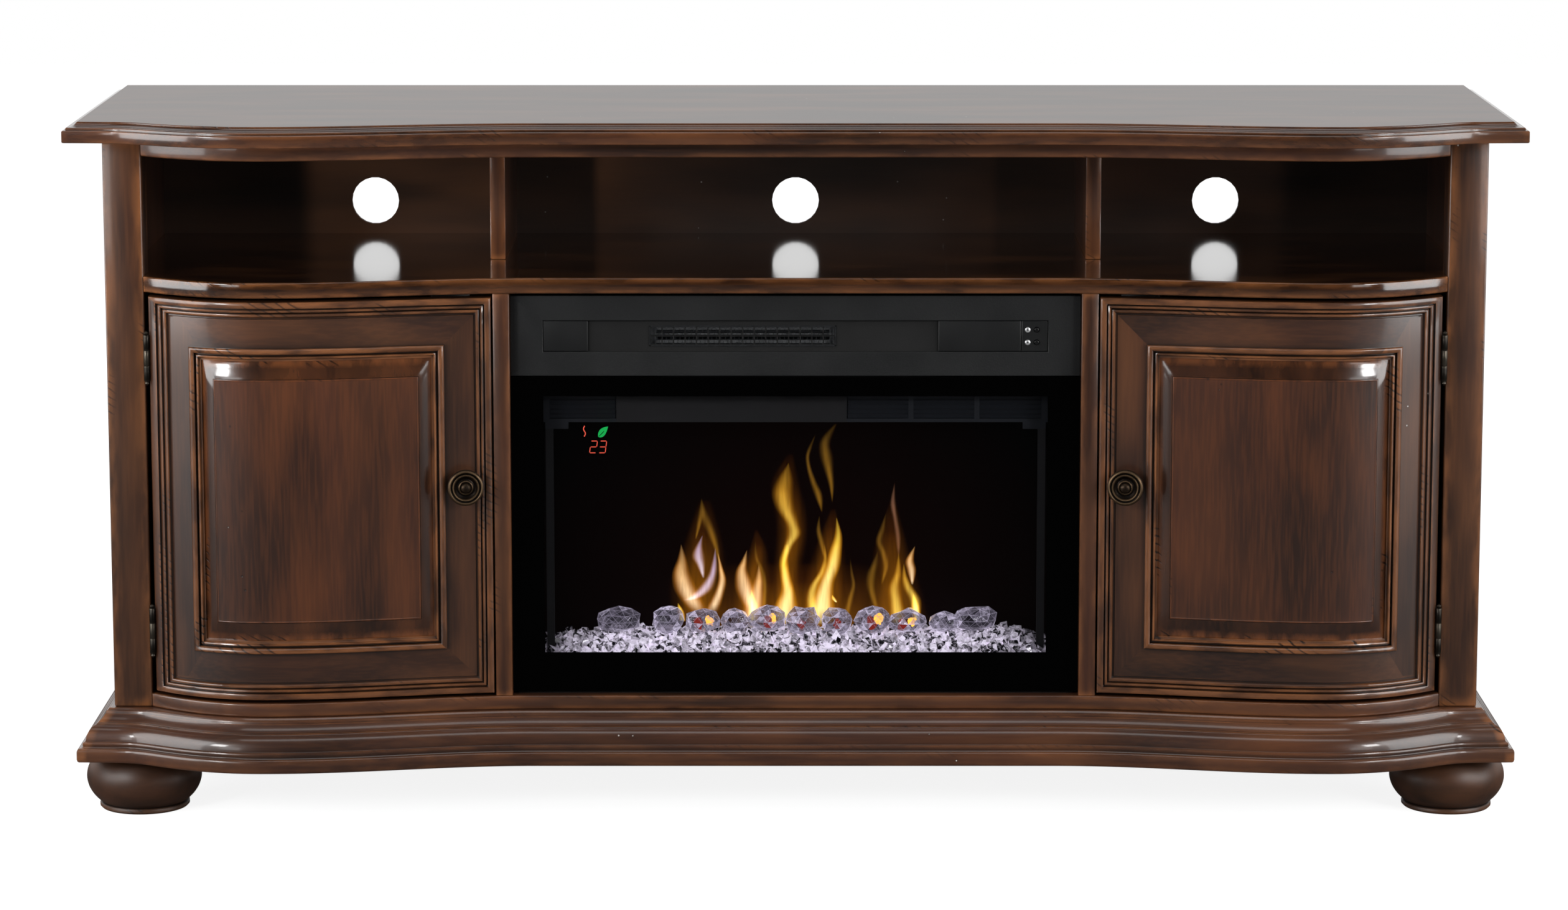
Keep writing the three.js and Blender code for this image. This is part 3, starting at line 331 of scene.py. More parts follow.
def crystal_rock():
    """Large clear acrylic boulders, which show the dark chamber and the embers through them. Their facets
    carry a painted glow, brightest on the rims and along the facet edges, for the light they catch.
    """
    made, tree = blank("clear_acrylic_boulder")
    facet = node(tree, "Attribute", attribute_name="shade").outputs["Fac"]
    place = node(tree, "TexCoord").outputs["Object"]
    dents = node(tree, "TexNoise", {"Vector": place, "Scale": BOULDER_DENTS, "Detail": 2.0})
    bump = node(tree, "Bump", {"Height": dents, "Strength": 0.5, "Distance": 0.003})
    clear = node(tree, "BsdfTransparent", [linear("#eae8ec")])
    shine = node(tree, "BsdfPrincipled", {"Base Color": linear("#1c1a21"), "Roughness": 0.06, "IOR": 1.49,
                                          "Normal": bump})
    cloud = node(tree, "TexNoise", {"Vector": place, "Scale": BOULDER_CLOUDS, "Detail": 3.0,
                                    "Distortion": 1.2})
    cloud = node(tree, "MapRange", [cloud, 0.42, 0.58, 0.5, 1.5])
    # Painted glints: the facet edges glow and are drawn more solid
    ridge = node(tree, "Math", [node(tree, "Wireframe", {"Size": 0.0006}), 0.36], operation="MULTIPLY")
    light = node(tree, "Math", [facet, cloud], operation="MULTIPLY")
    light = node(tree, "Math", [light, ridge], operation="ADD")
    # The painted glow of each facet, from its shade, the clouds and the edge lines
    painted_glow = node(tree, "Emission", {"Color": linear("#bdb4ca"), "Strength": light})
    gloss_and_painted_glow = node(tree, "AddShader", [shine, painted_glow])
    solid = node(tree, "MapRange", [facet, 0, 0.6, 0.3, 0.8])
    solid = node(tree, "Math", [solid, ridge], operation="ADD")
    node(tree, "OutputMaterial", {"Surface": node(tree, "MixShader", [solid, clear, gloss_and_painted_glow])})
    return made


def flame(name, core_low, core_high, rim, strength):
    """A flame image thrown on the screen: it adds its light, is bright at its core and thins to its rim."""
    made, tree = blank(name)
    spot = node(tree, "SeparateXYZ", [node(tree, "UVMap", uv_map="flame")])
    along = spot.outputs["Y"]
    across = node(tree, "Math", [spot.outputs["X"], 2.0], operation="MULTIPLY")
    across = node(tree, "Math", [across, 1.0], operation="SUBTRACT")
    across = node(tree, "Math", [across], operation="ABSOLUTE")
    body = painted(tree, core_low, [(node(tree, "MapRange", [along, 0.1, 0.75]), 1, core_high),
                                    (node(tree, "MapRange", [across, 0.15, 0.75]), 1, rim)])
    round_off = node(tree, "Math", [across, across], operation="MULTIPLY")
    round_off = node(tree, "Math", [1.0, round_off], operation="SUBTRACT")
    round_off = node(tree, "Math", [round_off, 0.0], operation="MAXIMUM")
    mask = node(tree, "Math", [round_off, 1.6], operation="POWER")
    foot_fade = node(tree, "MapRange", [along, 0.0, 0.12])
    tip_fade = node(tree, "MapRange", [along, 1.0, 0.7, 0.1, 1])
    veil = clouded(tree, WISP, "z", 0.3, 0.62, 2, 0.6, least=0.62)
    for share in (veil, foot_fade, tip_fade, strength):
        mask = node(tree, "Math", [mask, share], operation="MULTIPLY")
    glow = node(tree, "Emission", {"Color": body, "Strength": mask})
    clear = node(tree, "BsdfTransparent", [linear("#ffffff")])
    node(tree, "OutputMaterial", {"Surface": node(tree, "AddShader", [clear, glow])})
    return made


def screen_glow():
    """Smoked acrylic with the dim red halo of the flame image on it."""
    made, tree = blank("smoked_acrylic_screen")
    place = node(tree, "TexCoord").outputs["Object"]
    place = node(tree, "Mapping", {"Vector": place, "Location": (0, 0, -0.9), "Scale": (3.0, 0, 3.6)},
                 vector_type="POINT")
    halo = node(tree, "TexGradient", [place], gradient_type="SPHERICAL").outputs["Fac"]
    faint = node(tree, "Math", [halo, 0.05], operation="MULTIPLY")
    smoked = node(tree, "BsdfPrincipled", {"Base Color": linear("#020101"), "Roughness": 0.35,
                                           "Specular IOR Level": 0.05,
                                           "Emission Color": linear("#4a1408"),
                                           "Emission Strength": faint})
    node(tree, "OutputMaterial", {"Surface": smoked})
    return made


# The clear window in the glass
WINDOW_HALF = 0.2895
WINDOW_LOW = 0.1888
WINDOW_HIGH = 0.4895

# Cherry under a wiped glaze: its colours in the glaze, on the flats and on a rubbed arris
CHERRY = ("#25150e", "#4b2b1d", "#84522f")
# Warm brown rails and mouldings, black in the quirks from glaze and painted shade, and amber on the arrises
RAIL_WOOD = stained_wood("cherry_rails_wiped_glaze", "x", *CHERRY)
STILE_WOOD = stained_wood("cherry_stiles_wiped_glaze", "z", *CHERRY)
SIDE_WOOD = stained_wood("cherry_side_mouldings_wiped_glaze", "y", *CHERRY)
# Darker posts, whose corners are rubbed broad and bright
POST_WOOD = stained_wood("cherry_posts_wiped_glaze", "z", "#1a0f0a", "#3f2518", "#8a5630", 0.33, 1.0,
                         0.05, reach=0.016)
# The moulding of the top: dark, with long glints on its full lacquer
EDGE_WOOD = stained_wood("cherry_top_moulding_wiped_glaze", "x", "#1f120c", "#40251a", "#84522f",
                         0.26, 0.9, 0.05, 1.0, 0.0)
# Door frames under a heavier glaze, so that the flats look plain and the beads stand out
DOOR_WOOD = ("#1d110b", "#3a2116", "#84522f")
DOOR_RAIL = stained_wood("cherry_door_rails_dark_glaze", "x", *DOOR_WOOD, 0.33, 1.0, 0.06, 0.8)
DOOR_STILE = stained_wood("cherry_door_stiles_dark_glaze", "z", *DOOR_WOOD, 0.33, 1.0, 0.06, 0.8)
# Framed ends with little wear on their broad fields
END_WOOD = stained_wood("cherry_side_panels_wiped_glaze", "z", "#26150d", "#482a1c", "#7a4a2c", 0.33,
                        0.7, 0.07, 0.6, reach=0.003)
# The top: an even sheet of satin lacquer that mirrors the pale room
TOP_WOOD = stained_wood("cherry_veneer_top_lacquered", "x", *CHERRY, 0.3, 0.0, 0.05, 0.04, 0.0, 0.05)
# Raised fields: redder veneer with an upright figure that shows
PANEL_WOOD = stained_wood("cherry_veneer_panels_lacquered", "z", "#24140d", "#432518", "#74401f",
                          0.33, 0.8, 0.07, 0.6, 0.04, 0.16)
# Bevels round the fields: nearly black, with a sharp shine on the slope
BEVEL_WOOD = stained_wood("cherry_bevels_dark_glaze", "z", "#1a0f0a", "#382015", "#7a4726", 0.24, 0.9,
                          0.06, 1.0, 0.0)
# The shelf in the bay: polished so far that it mirrors the cable holes
SHELF_WOOD = stained_wood("cherry_shelf_polished", "x", "#150b07", "#2c1911", "#8a5630", 0.1, 1.0,
                          0.05, 0.9, 0.0)
# Thin boards inside, stained and left without lacquer: flat and dull
INSIDE_WOOD = stained_wood("stained_plywood_inside", "x", "#1d120c", "#402819", "#503320", 0.5, 0.3,
                           0.06, 0.0, reach=0.002)
# Turned feet, with a soft round sheen on the ball
FOOT_WOOD = stained_wood("cherry_turned_feet", "x", "#2a190f", "#4b2d1c", "#6d4527", 0.42, 0.6, 0.03,
                         coat=0.0)
# Bronze that is nearly black on the hinges, and brown with rubbed rings on the knobs
HINGE_METAL = aged_metal("blackened_bronze_hinge", "#1c1815", "#4e483f", "#0b0908", 0.3)
BRONZE = aged_metal("antique_bronze_plate", "#2a2019", "#7a6248", "#0e0a07")
# Zinc plate: pale grey and a little cloudy. Nickel: brighter, with dark recesses
ZINC = aged_metal("zinc_plated_steel", "#9a9da1", "#c8cacd", "#6f7276", 0.3)
SCREW_STEEL = aged_metal("nickel_plated_screw", "#c9cbcd", "#f0f1f2", "#8a8c8e", 0.3)
# Charcoal powder coat: dark grey with a faint grain. The covers are blacker and smoother
TRIM_STEEL = coated("charcoal_powder_coat", "#0f1011", "#161718", 0.42, 1.6, 0.4)
COVER_STEEL = coated("satin_black_cover", "#090a0b", "#101112", 0.38, 1.2, 0.2)
# Stove paint inside the insert, which swallows the light
HOUSING_BLACK = coated("matt_black_stove_paint", "#020202", "#060606", 0.8, 1.5, 0.3)
# Moulded buttons with a slight shine, and wire with dark metallic glints
BUTTON_BLACK = coated("moulded_black_abs", "#050506", "#0a0a0b", 0.3, 1.0, 0.1)
MESH_BLACK = coated("black_oxide_wire_mesh", "#1c1d1f", "#3a3c3f", 0.4, 1.0, 0.2, 0.6)
# Painted strips round the chamber, just seen behind the glass: blue-black, warm black and black
LOUVRE_NAVY = coated("dark_blue_painted_louvre", "#050b12", "#080f18", 0.5, 1.5, 0.2)
STRIP_GREY = coated("dark_grey_painted_strip", "#060505", "#090807", 0.6, 1.5, 0.2)
EDGE_GREY = coated("black_anodised_strip", "#040405", "#070708", 0.6, 1.5, 0.2)
GLASS_PANE = front_glass()
# Clear crushed crystal: white and violet-grey chips with dark gaps, painted facet by facet with reflections
# and with a glow of the LEDs under the bed, and darker boulders with a painted glow on their rims
CHIPS = crystal("crushed_acrylic_crystal", "#0c0b0f", "#ece4f2", 0.5)
ROCK = crystal_rock()
SCREEN_BLACK = screen_glow()
# The flame image in its tones, from white-yellow cores to a brown haze
FLAME_MATERIALS = {
    "bright": flame("flame_image_bright", "#fff2a6", "#f8cc44", "#e09418", 1.6),
    "gold": flame("flame_image_gold", "#f8d45c", "#c8922a", "#9a6410", 1.2),
    "peach": flame("flame_image_peach", "#fddaa8", "#e6b06c", "#b87224", 1.35),
    "lilac": flame("flame_image_lilac", "#eedde6", "#c0a6c0", "#a07040", 1.15),
    "dim": flame("flame_image_dim", "#94681c", "#6a4c18", "#4a300c", 0.9),
    "rose": flame("flame_image_rose", "#7a5238", "#8a6048", "#3a2410", 0.9),
    "halo": flame("flame_image_halo", "#b87010", "#4a2404", "#5a3206", 0.62),
}
# Lit spots: embers in the boulders, and the segments and leaf of the display
EMBER = lit("ember_orange", "#ffb03a", 4.2)
EMBER_RED = lit("ember_red", "#a02c1a", 1.2)
DISPLAY_RED = lit("display_red_segment", "#f0604a", 1.2)
DISPLAY_GREEN = lit("display_green_leaf", "#1fb455", 1.0)


def line_y(x):
    """The plan line of the front at a distance from the middle."""
    at = abs(x)
    if at <= FLAT_HALF:
        return MIDDLE_Y
    if at <= CREST_X:
        share = (CREST_X - at) / (CREST_X - FLAT_HALF)
        return CREST_Y + (MIDDLE_Y - CREST_Y) * (1 - math.cos(math.pi * share)) / 2
    return CREST_Y + (POST_Y - CREST_Y) * ((at - CREST_X) / (POST_INNER - CREST_X)) ** 2


def line_slope(x):
    step = 1e-5
    return (line_y(abs(x) + step) - line_y(abs(x) - step)) / (2 * step)


def spread(start, end, steps):
    return [start + (end - start) * i / steps for i in range(steps + 1)]


def mirrored(half):
    """A line of (x, y) points from the middle out, with its mirror image before it."""
    return [(-x, y) for x, y in reversed(half) if x > 0] + half


HALF_XS = spread(0, FLAT_HALF, 4) + spread(FLAT_HALF, CREST_X, 26)[1:] + spread(CREST_X, POST_INNER, 16)[1:]


def front_line(back=0.0, end=POST_INNER - GAP):
    return mirrored([(min(x, end), line_y(min(x, end)) + back) for x in HALF_XS])


def moulding_line(out):
    """The line of a moulding at a distance out from the post faces: the bow, a soft turn and the ear."""
    ear = POST_Y - out
    half = []
    for x in HALF_XS + spread(POST_INNER, POST_INNER + EAR_RUN, 10)[1:]:
        slope = line_slope(x)
        long = math.hypot(1, slope)
        px, py = x + out * slope / long, line_y(x) - out / long
        fall = line_y(x) - POST_Y
        lost = (math.hypot(fall, EAR_FILLET) - abs(fall)) / 2
        kept = lost * (fall / (POST_Y - CREST_Y)) ** 2 if fall < 0 else 0
        half.append((px, (py + ear) / 2 - math.hypot(py - ear, EAR_FILLET) / 2 + kept))
    half.append((POST_OUTER + out, ear))
    return mirrored(half)


def skin(rings, around=True, along=False):
    """A skin through rings of points: a grid laid on them, its seams merged and its open ends closed."""
    bm = bmesh.new()
    columns, rows = len(rings[0]), len(rings)
    bmesh.ops.create_grid(bm, x_segments=columns - 1 + around, y_segments=rows - 1 + along, size=1)
    for number, vert in enumerate(bm.verts):
        row, column = divmod(number, columns + around)
        vert.co = rings[row % rows][column % columns]
    bmesh.ops.remove_doubles(bm, verts=bm.verts, dist=MERGE)
    if around and not along:
        bmesh.ops.holes_fill(bm, edges=[e for e in bm.edges if e.is_boundary], sides=0)
    return bm


def finish_mesh(name, bm, body, nodes, materials, flat=False):
    """Turns a bmesh into a piece of the object that rides on a body and stands for CAD nodes."""
    bmesh.ops.recalc_face_normals(bm, faces=bm.faces)
    for face in bm.faces:
        face.smooth = not flat and len(face.verts) <= 4
    for edge in bm.edges:
        edge.smooth = len(edge.link_faces) == 2 and edge.calc_face_angle(0) < SHARP_TURN
    mesh = bpy.data.meshes.new(name)
    bm.to_mesh(mesh)
    bm.free()
    for material in materials:
        mesh.materials.append(material)
    piece = bpy.data.objects.new(name, mesh)
    bpy.context.scene.collection.objects.link(piece)
    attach(piece, body)
    if nodes:
        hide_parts(*nodes)


SHARP_EDGE = math.radians(35)


def eased(node_name, body, arris, materials, segments=2):
    """A copy of a CAD node whose sharp edges are rounded."""
    bm = bmesh.new()
    bm.from_mesh(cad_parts[node_name].data)
    bmesh.ops.remove_doubles(bm, verts=bm.verts, dist=MERGE)
    bmesh.ops.dissolve_limit(bm, angle_limit=math.radians(1), verts=bm.verts, edges=bm.edges)
    sharp = [e for e in bm.edges if len(e.link_faces) == 2 and e.calc_face_angle(0) > SHARP_EDGE]
    bmesh.ops.bevel(bm, geom=sharp, offset=arris, offset_type="OFFSET", segments=segments, profile=0.5,
                    material=-1, affect="EDGES", clamp_overlap=True)
    finish_mesh(node_name + "_eased", bm, body, [node_name], materials)


def block(bm, low, high, turn=None):
    """Adds a box between two corners, turned about its middle."""
    low, high = Vector(low), Vector(high)
    place = Matrix.Translation((low + high) / 2) @ (turn or Matrix.Identity(4))
    size = Matrix.Diagonal((*(high - low), 1))
    bmesh.ops.create_cube(bm, size=1, matrix=place @ size)


def turned(bm, profile, place, steps=48):
    """Spins (radius, height) points round the Z axis of a placing matrix."""
    verts = [bm.verts.new((r, 0, z)) for r, z in profile]
    edges = [bm.edges.new(pair) for pair in zip(verts, verts[1:])]
    bmesh.ops.spin(bm, geom=verts + edges, axis=(0, 0, 1), cent=(0, 0, 0), steps=steps,
                   angle=2 * math.pi, use_merge=True)
    fresh = [v for v in bm.verts if v.link_edges and not v.tag]
    bmesh.ops.transform(bm, matrix=place, verts=fresh)
    for vert in fresh:
        vert.tag = True


def wood_top():
    """The top, its edge moulding swept round the bows and the ears."""
    rings = []
    for out, up in TOP_EDGE:
        line = moulding_line(out * MOULDING)
        edge = POST_OUTER + out * MOULDING
        z = TOP[0].z + up * (TOP[1].z - TOP[0].z)
        rings.append([Vector((x, y, z)) for x, y in line + [(edge, BACK_Y), (-edge, BACK_Y)]])
    bm = skin(rings)
    for face in bm.faces:
        face.material_index = int(len(face.verts) <= 4)
    finish_mesh("top_board", bm, "cabinet", ["top_panel"], [TOP_WOOD, EDGE_WOOD])


def base_points():
    high = BASE[1].z - BASE[0].z
    edge = [(out * MOULDING, up * high) for out, up in BASE_EDGE]
    return [(-BASE_INNER, 0), *edge, (-BASE_INNER, high)]


def wood_base():
    """The base moulding: a swept front and two straight sides, mitred at the ears."""
    points = base_points()
    lines = [[Vector((x, y, BASE[0].z + up)) for x, y in moulding_line(out)] for out, up in points]
    front = [[line[i] for line in lines] for i in range(len(lines[0]))]
    finish_mesh("base_front", skin(front), "cabinet", ["base_moulding_front"], [RAIL_WOOD])
    for side, sign in SIDES.items():
        rings = []
        for share in (0, 0.25, 0.5, 0.75, 1):
            rings.append([Vector((sign * (POST_OUTER + out),
                                  (POST_Y - out + GAP) * (1 - share) + CARCASS_BACK * share,
                                  BASE[0].z + up)) for out, up in points])
        finish_mesh(f"base_side_{side}", skin(rings), "cabinet", [f"base_moulding_{side}"],
                    [SIDE_WOOD])


BOARD_ARRIS = 0.0022
APRON_THICK = 0.02
RAIL_THICK = 0.04


def curved_board(name, node_name, box, behind, material):
    """A board whose front follows the bows with a rounded arris. `behind` gives the rest of its outline."""
    rings = []
    for turn in spread(0, math.pi / 2, 3):
        inset = BOARD_ARRIS * (1 - math.sin(turn))
        rings.append((inset, box[0].z + BOARD_ARRIS * (1 - math.cos(turn))))
    rings += [(inset, box[0].z + box[1].z - z) for inset, z in reversed(rings)]
    outline = [[Vector((x, y, z)) for x, y in front_line(inset) + behind] for inset, z in rings]
    finish_mesh(name, skin(outline), "cabinet", [node_name], [material])


def wood_boards():
    notch = POST[1].y + GAP
    near, side, back = POST_INNER - GAP, SHELF[1].x, SHELF[1].y
    curved_board("bay_shelf", "media_shelf", SHELF, [
        (near, notch), (side, notch), (side, back), (-side, back), (-side, notch), (-near, notch),
    ], SHELF_WOOD)
    curved_board("apron_board", "top_apron", APRON, front_line(APRON_THICK)[::-1], RAIL_WOOD)
    curved_board("rail_board", "bottom_rail", RAIL, front_line(RAIL_THICK)[::-1], RAIL_WOOD)


# Door profiles in shares: across the edge moulding or the bolection, and back to the flat's depth
FLAT_DROP = 0.0055
DOOR_EDGE = [
    (0, 0.34), (0.02, 0.13), (0.076, 0), (0.18, 0), (0.29, 0.02), (0.33, 0.1), (0.345, 0.48),
    (0.375, 0.6), (0.41, 0.52), (0.43, 0.3), (0.48, 0.2), (0.54, 0.26), (0.57, 0.42), (0.585, 0.74),
    (0.61, 0.84), (0.635, 0.74), (0.65, 0.5), (0.7, 0.4), (0.77, 0.45), (0.815, 0.65), (0.832, 1.0),
    (0.87, 1.15), (0.92, 1.15), (0.95, 1),
]
BOLECTION = [
    (0.02, 1), (0.03, 0.5), (0.07, 0.2), (0.13, 0.06), (0.22, 0.05), (0.34, 0.14), (0.43, 0.32),
    (0.48, 0.55), (0.495, 0.95), (0.53, 1.2), (0.57, 1.2), (0.6, 0.95), (0.63, 0.76), (0.7, 0.66),
    (0.77, 0.72), (0.81, 0.92), (0.83, 1.2), (0.88, 1.4), (1, 1.42),
]
STILE_MOULDING = 0.021
STILE_FLAT = 0.032
STILE_BOLECTION = 0.015
HINGE_MOULDING = 0.027
HINGE_FLAT = 0.021
DOOR_OPENING = STILE_MOULDING + STILE_FLAT + STILE_BOLECTION
DOOR_THICK = 0.021
GROOVE_DEPTH = 0.0065
GROOVE_FRONT = 0.01
GROOVE_BACK = 0.0027
PANEL_CLEAR = 0.0006
BEVEL_SIDE = 0.015
BEVEL_END = 0.022
FIELD_DROP = 0.004
FIELD_LIP = 0.0018
BEVEL = [
    (0.05, 0), (0.12, 0.02), (0.25, 0.16), (0.4, 0.38), (0.55, 0.6), (0.72, 0.82), (0.86, 0.95),
    (0.93, 1),
]
LIP = [
    (0.94, 1.25), (0.962, 1.25), (0.97, 0.5), (0.985, 0.1), (1.02, 0), (1.06, 0.1), (1.08, 0.3),
    (1.16, 0.32),
]
DOOR_LOW = DOOR[0].z
DOOR_HIGH = DOOR[1].z
DOOR_INNER = DOOR[0].x
DOOR_OUTER = DOOR[1].x
RUN_STEPS = 56
RISE_STEPS = 20
FLAT_EASE = 0.001
KNOB_IN = 0.032
KNOB_RADIUS = 0.021
KNOB_PROUD = 0.025


def hinge_inset(inset):
    if inset <= STILE_MOULDING:
        return inset * HINGE_MOULDING / STILE_MOULDING
    past = inset - STILE_MOULDING
    if past <= STILE_FLAT:
        return HINGE_MOULDING + past * HINGE_FLAT / STILE_FLAT
    return HINGE_MOULDING + HINGE_FLAT + past - STILE_FLAT


def door_ring(sign, inset, back, extra=0.0):
    """A rectangle on the bowed face of a door, at an inset from its edge and a depth behind the front."""
    x0, x1 = DOOR_INNER + inset, DOOR_OUTER - hinge_inset(inset)
    z0, z1 = DOOR_LOW + inset + extra, DOOR_HIGH - inset - extra
    path = [(x, z0) for x in spread(x0, x1, RUN_STEPS)[:-1]]
    path += [(x1, z) for z in spread(z0, z1, RISE_STEPS)[:-1]]
    path += [(x, z1) for x in spread(x1, x0, RUN_STEPS)[:-1]]
    path += [(x0, z) for z in spread(z1, z0, RISE_STEPS)[:-1]]
    return [Vector((sign * x, line_y(x) + back, z)) for x, z in path]


def door_frame(side, sign):
    """A mitred frame. Its stiles and rails take the grain along their own length."""
    flat = STILE_MOULDING + STILE_FLAT
    groove = DOOR_OPENING - GROOVE_DEPTH
    profile = [(0, DOOR_THICK), *[(a * STILE_MOULDING, b * FLAT_DROP) for a, b in DOOR_EDGE]]
    profile += [(STILE_MOULDING + FLAT_EASE, FLAT_DROP), (flat - FLAT_EASE, FLAT_DROP)]
    profile += [(flat + a * STILE_BOLECTION, b * FLAT_DROP) for a, b in BOLECTION]
    profile += [(DOOR_OPENING, GROOVE_FRONT), (groove, GROOVE_FRONT), (groove, DOOR_THICK - GROOVE_BACK),
                (DOOR_OPENING, DOOR_THICK - GROOVE_BACK), (DOOR_OPENING, DOOR_THICK)]
    bm = skin([door_ring(sign, inset, back) for inset, back in profile], along=True)
    middle_z = (DOOR_LOW + DOOR_HIGH) / 2
    half_z = (DOOR_HIGH - DOOR_LOW) / 2
    for face in bm.faces:
        spot = face.calc_center_median()
        from_end = half_z - abs(spot.z - middle_z)
        from_inner = abs(spot.x) - DOOR_INNER
        from_hinge = (DOOR_OUTER - abs(spot.x)) * STILE_MOULDING / HINGE_MOULDING
        face.material_index = int(from_end > min(from_inner, from_hinge))
    finish_mesh(f"door_frame_moulded_{side}", bm, f"door_{side}", [f"door_frame_{side}"],
                [DOOR_RAIL, DOOR_STILE])


def door_panel(side, sign):
    """A raised panel: a hollow bevel falls from the frame to a lipped field."""
    edge = DOOR_OPENING - GROOVE_DEPTH + GAP
    front, back = GROOVE_FRONT + PANEL_CLEAR, DOOR_THICK - GROOVE_BACK - PANEL_CLEAR
    extra = BEVEL_END - BEVEL_SIDE
    fall = front - FIELD_DROP - FIELD_LIP
    rows = [(edge, back, 0), (edge, front, 0)]
    rows += [(DOOR_OPENING + a * BEVEL_SIDE, front - b * fall, min(a / 0.93, 1) * extra) for a, b in BEVEL]
    rows += [(DOOR_OPENING + a * BEVEL_SIDE, FIELD_DROP + b * FIELD_LIP, extra) for a, b in LIP]
    bm = skin([door_ring(sign, *row) for row in rows])
    bmesh.ops.delete(bm, geom=[f for f in bm.faces if len(f.verts) > 4], context="FACES_ONLY")
    for ends in (max, min):
        rim = [e for e in bm.edges if e.is_boundary]
        depth = ends(v.co.y - line_y(v.co.x) for e in rim for v in e.verts)
        loop = [e for e in rim if all(abs(v.co.y - line_y(v.co.x) - depth) < 1e-5 for v in e.verts)]
        runs = [e for e in loop if abs(e.verts[0].co.x - e.verts[1].co.x) > MERGE]
        rises = [e for e in loop if e not in runs]
        steps = len(rises) // 2
        made = bmesh.ops.bridge_loops(bm, edges=runs)
        bmesh.ops.subdivide_edges(bm, edges=[e for e in made["edges"] if e.is_valid and not e.is_boundary],
                                  cuts=steps - 1, use_grid_fill=True)
        bmesh.ops.remove_doubles(bm, verts=bm.verts, dist=MERGE * 20)
    for face in bm.faces:
        spot = face.calc_center_median()
        face.material_index = int(spot.y - line_y(spot.x) > FIELD_DROP + 0.6 * FIELD_LIP)
    finish_mesh(f"door_panel_raised_{side}", bm, f"door_{side}", [f"door_panel_{side}"],
                [PANEL_WOOD, BEVEL_WOOD])


KNOB_TURNS = [
    (0, 0), (0.5, 0), (0.53, 0.05), (0.5, 0.1), (0.38, 0.16), (0.34, 0.25), (0.34, 0.38), (0.42, 0.46),
    (0.62, 0.52), (0.86, 0.58), (0.97, 0.65), (1, 0.73), (0.98, 0.81), (0.93, 0.865), (0.87, 0.88),
    (0.83, 0.86), (0.8, 0.8), (0.765, 0.79), (0.75, 0.83), (0.71, 0.86), (0.66, 0.85), (0.63, 0.79),
    (0.58, 0.74), (0.48, 0.7), (0.42, 0.72), (0.4, 0.78), (0.35, 0.81), (0.3, 0.79), (0.28, 0.83),
    (0.26, 0.9), (0.2, 0.96), (0.1, 0.99), (0, 1),
]


def on_face(x, sign, z, back):
    """A matrix at a point of the front line, with its Z out of the face."""
    tilt = math.atan(line_slope(x)) * sign
    return (Matrix.Translation((sign * x, line_y(x) + back, z)) @ Matrix.Rotation(tilt, 4, "Z")
            @ Matrix.Rotation(math.pi / 2, 4, "X"))


def knob(side, sign):
    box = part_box(f"knob_{side}")
    middle = (box[0].z + box[1].z) / 2
    bm = bmesh.new()
    turned(bm, [(r * KNOB_RADIUS, h * KNOB_PROUD) for r, h in KNOB_TURNS],
           on_face(DOOR_INNER + KNOB_IN, sign, middle, FLAT_DROP - 2 * GAP), 64)
    finish_mesh(f"knob_turned_{side}", bm, f"door_{side}", [f"knob_{side}"], [BRONZE])


# The disc under a foot in (radius, height), and the ball's neck
FOOT_DISC = [(0, 0), (0.05, 0), (0.052, 0.002), (0.052, 0.005), (0.051, 0.0065), (0.0495, 0.007)]
FOOT_NECK = 0.0495


def foot(name, node_name):
    """A bun foot turned in one piece: a disc, a quirk and a squashed ball."""
    low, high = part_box(node_name)
    ball, tall = (high.x - low.x) / 2, high.z - low.z
    profile = list(FOOT_DISC)
    step = FOOT_DISC[-1][1]
    reach = math.sqrt(1 - (FOOT_NECK / ball) ** 2)
    for t in spread(-1, 1, 22):
        profile.append((ball * math.sqrt(1 - (t * reach) ** 2), step + (tall - step) * (t + 1) / 2))
    profile.append((0, tall))
    bm = bmesh.new()
    turned(bm, profile, Matrix.Translation(((low.x + high.x) / 2, (low.y + high.y) / 2, low.z)), 72)
    finish_mesh(name, bm, "cabinet", [node_name], [FOOT_WOOD])


def hinge_parts():
    """Barrel hinges: CAD leaves with their knuckles, and ball tips."""
    for side in SIDES:
        for level in ("lower", "upper"):
            for leaf, body in (("post", "cabinet"), ("door", f"door_{side}")):
                eased(f"hinge_{leaf}_leaf_{side}_{level}", body, 0.0003, [HINGE_METAL], 1)


# The wire mesh over the air outlet, the screw heads and the push buttons
MESH_CELL = 0.0052
MESH_WIRE = 0.0007
MESH_FROM = -0.166
MESH_TO = 0.045
MESH_TALL = 0.0215
MESH_RIM = 0.0012
MESH_PROUD = 0.0009
SCREW_X = 0.2657
SCREW_HEAD = 0.003
SCREW_PROUD = 0.0011
SCREW_BACK = 0.0008
BUTTON_ZS = (0.55175, 0.56625)


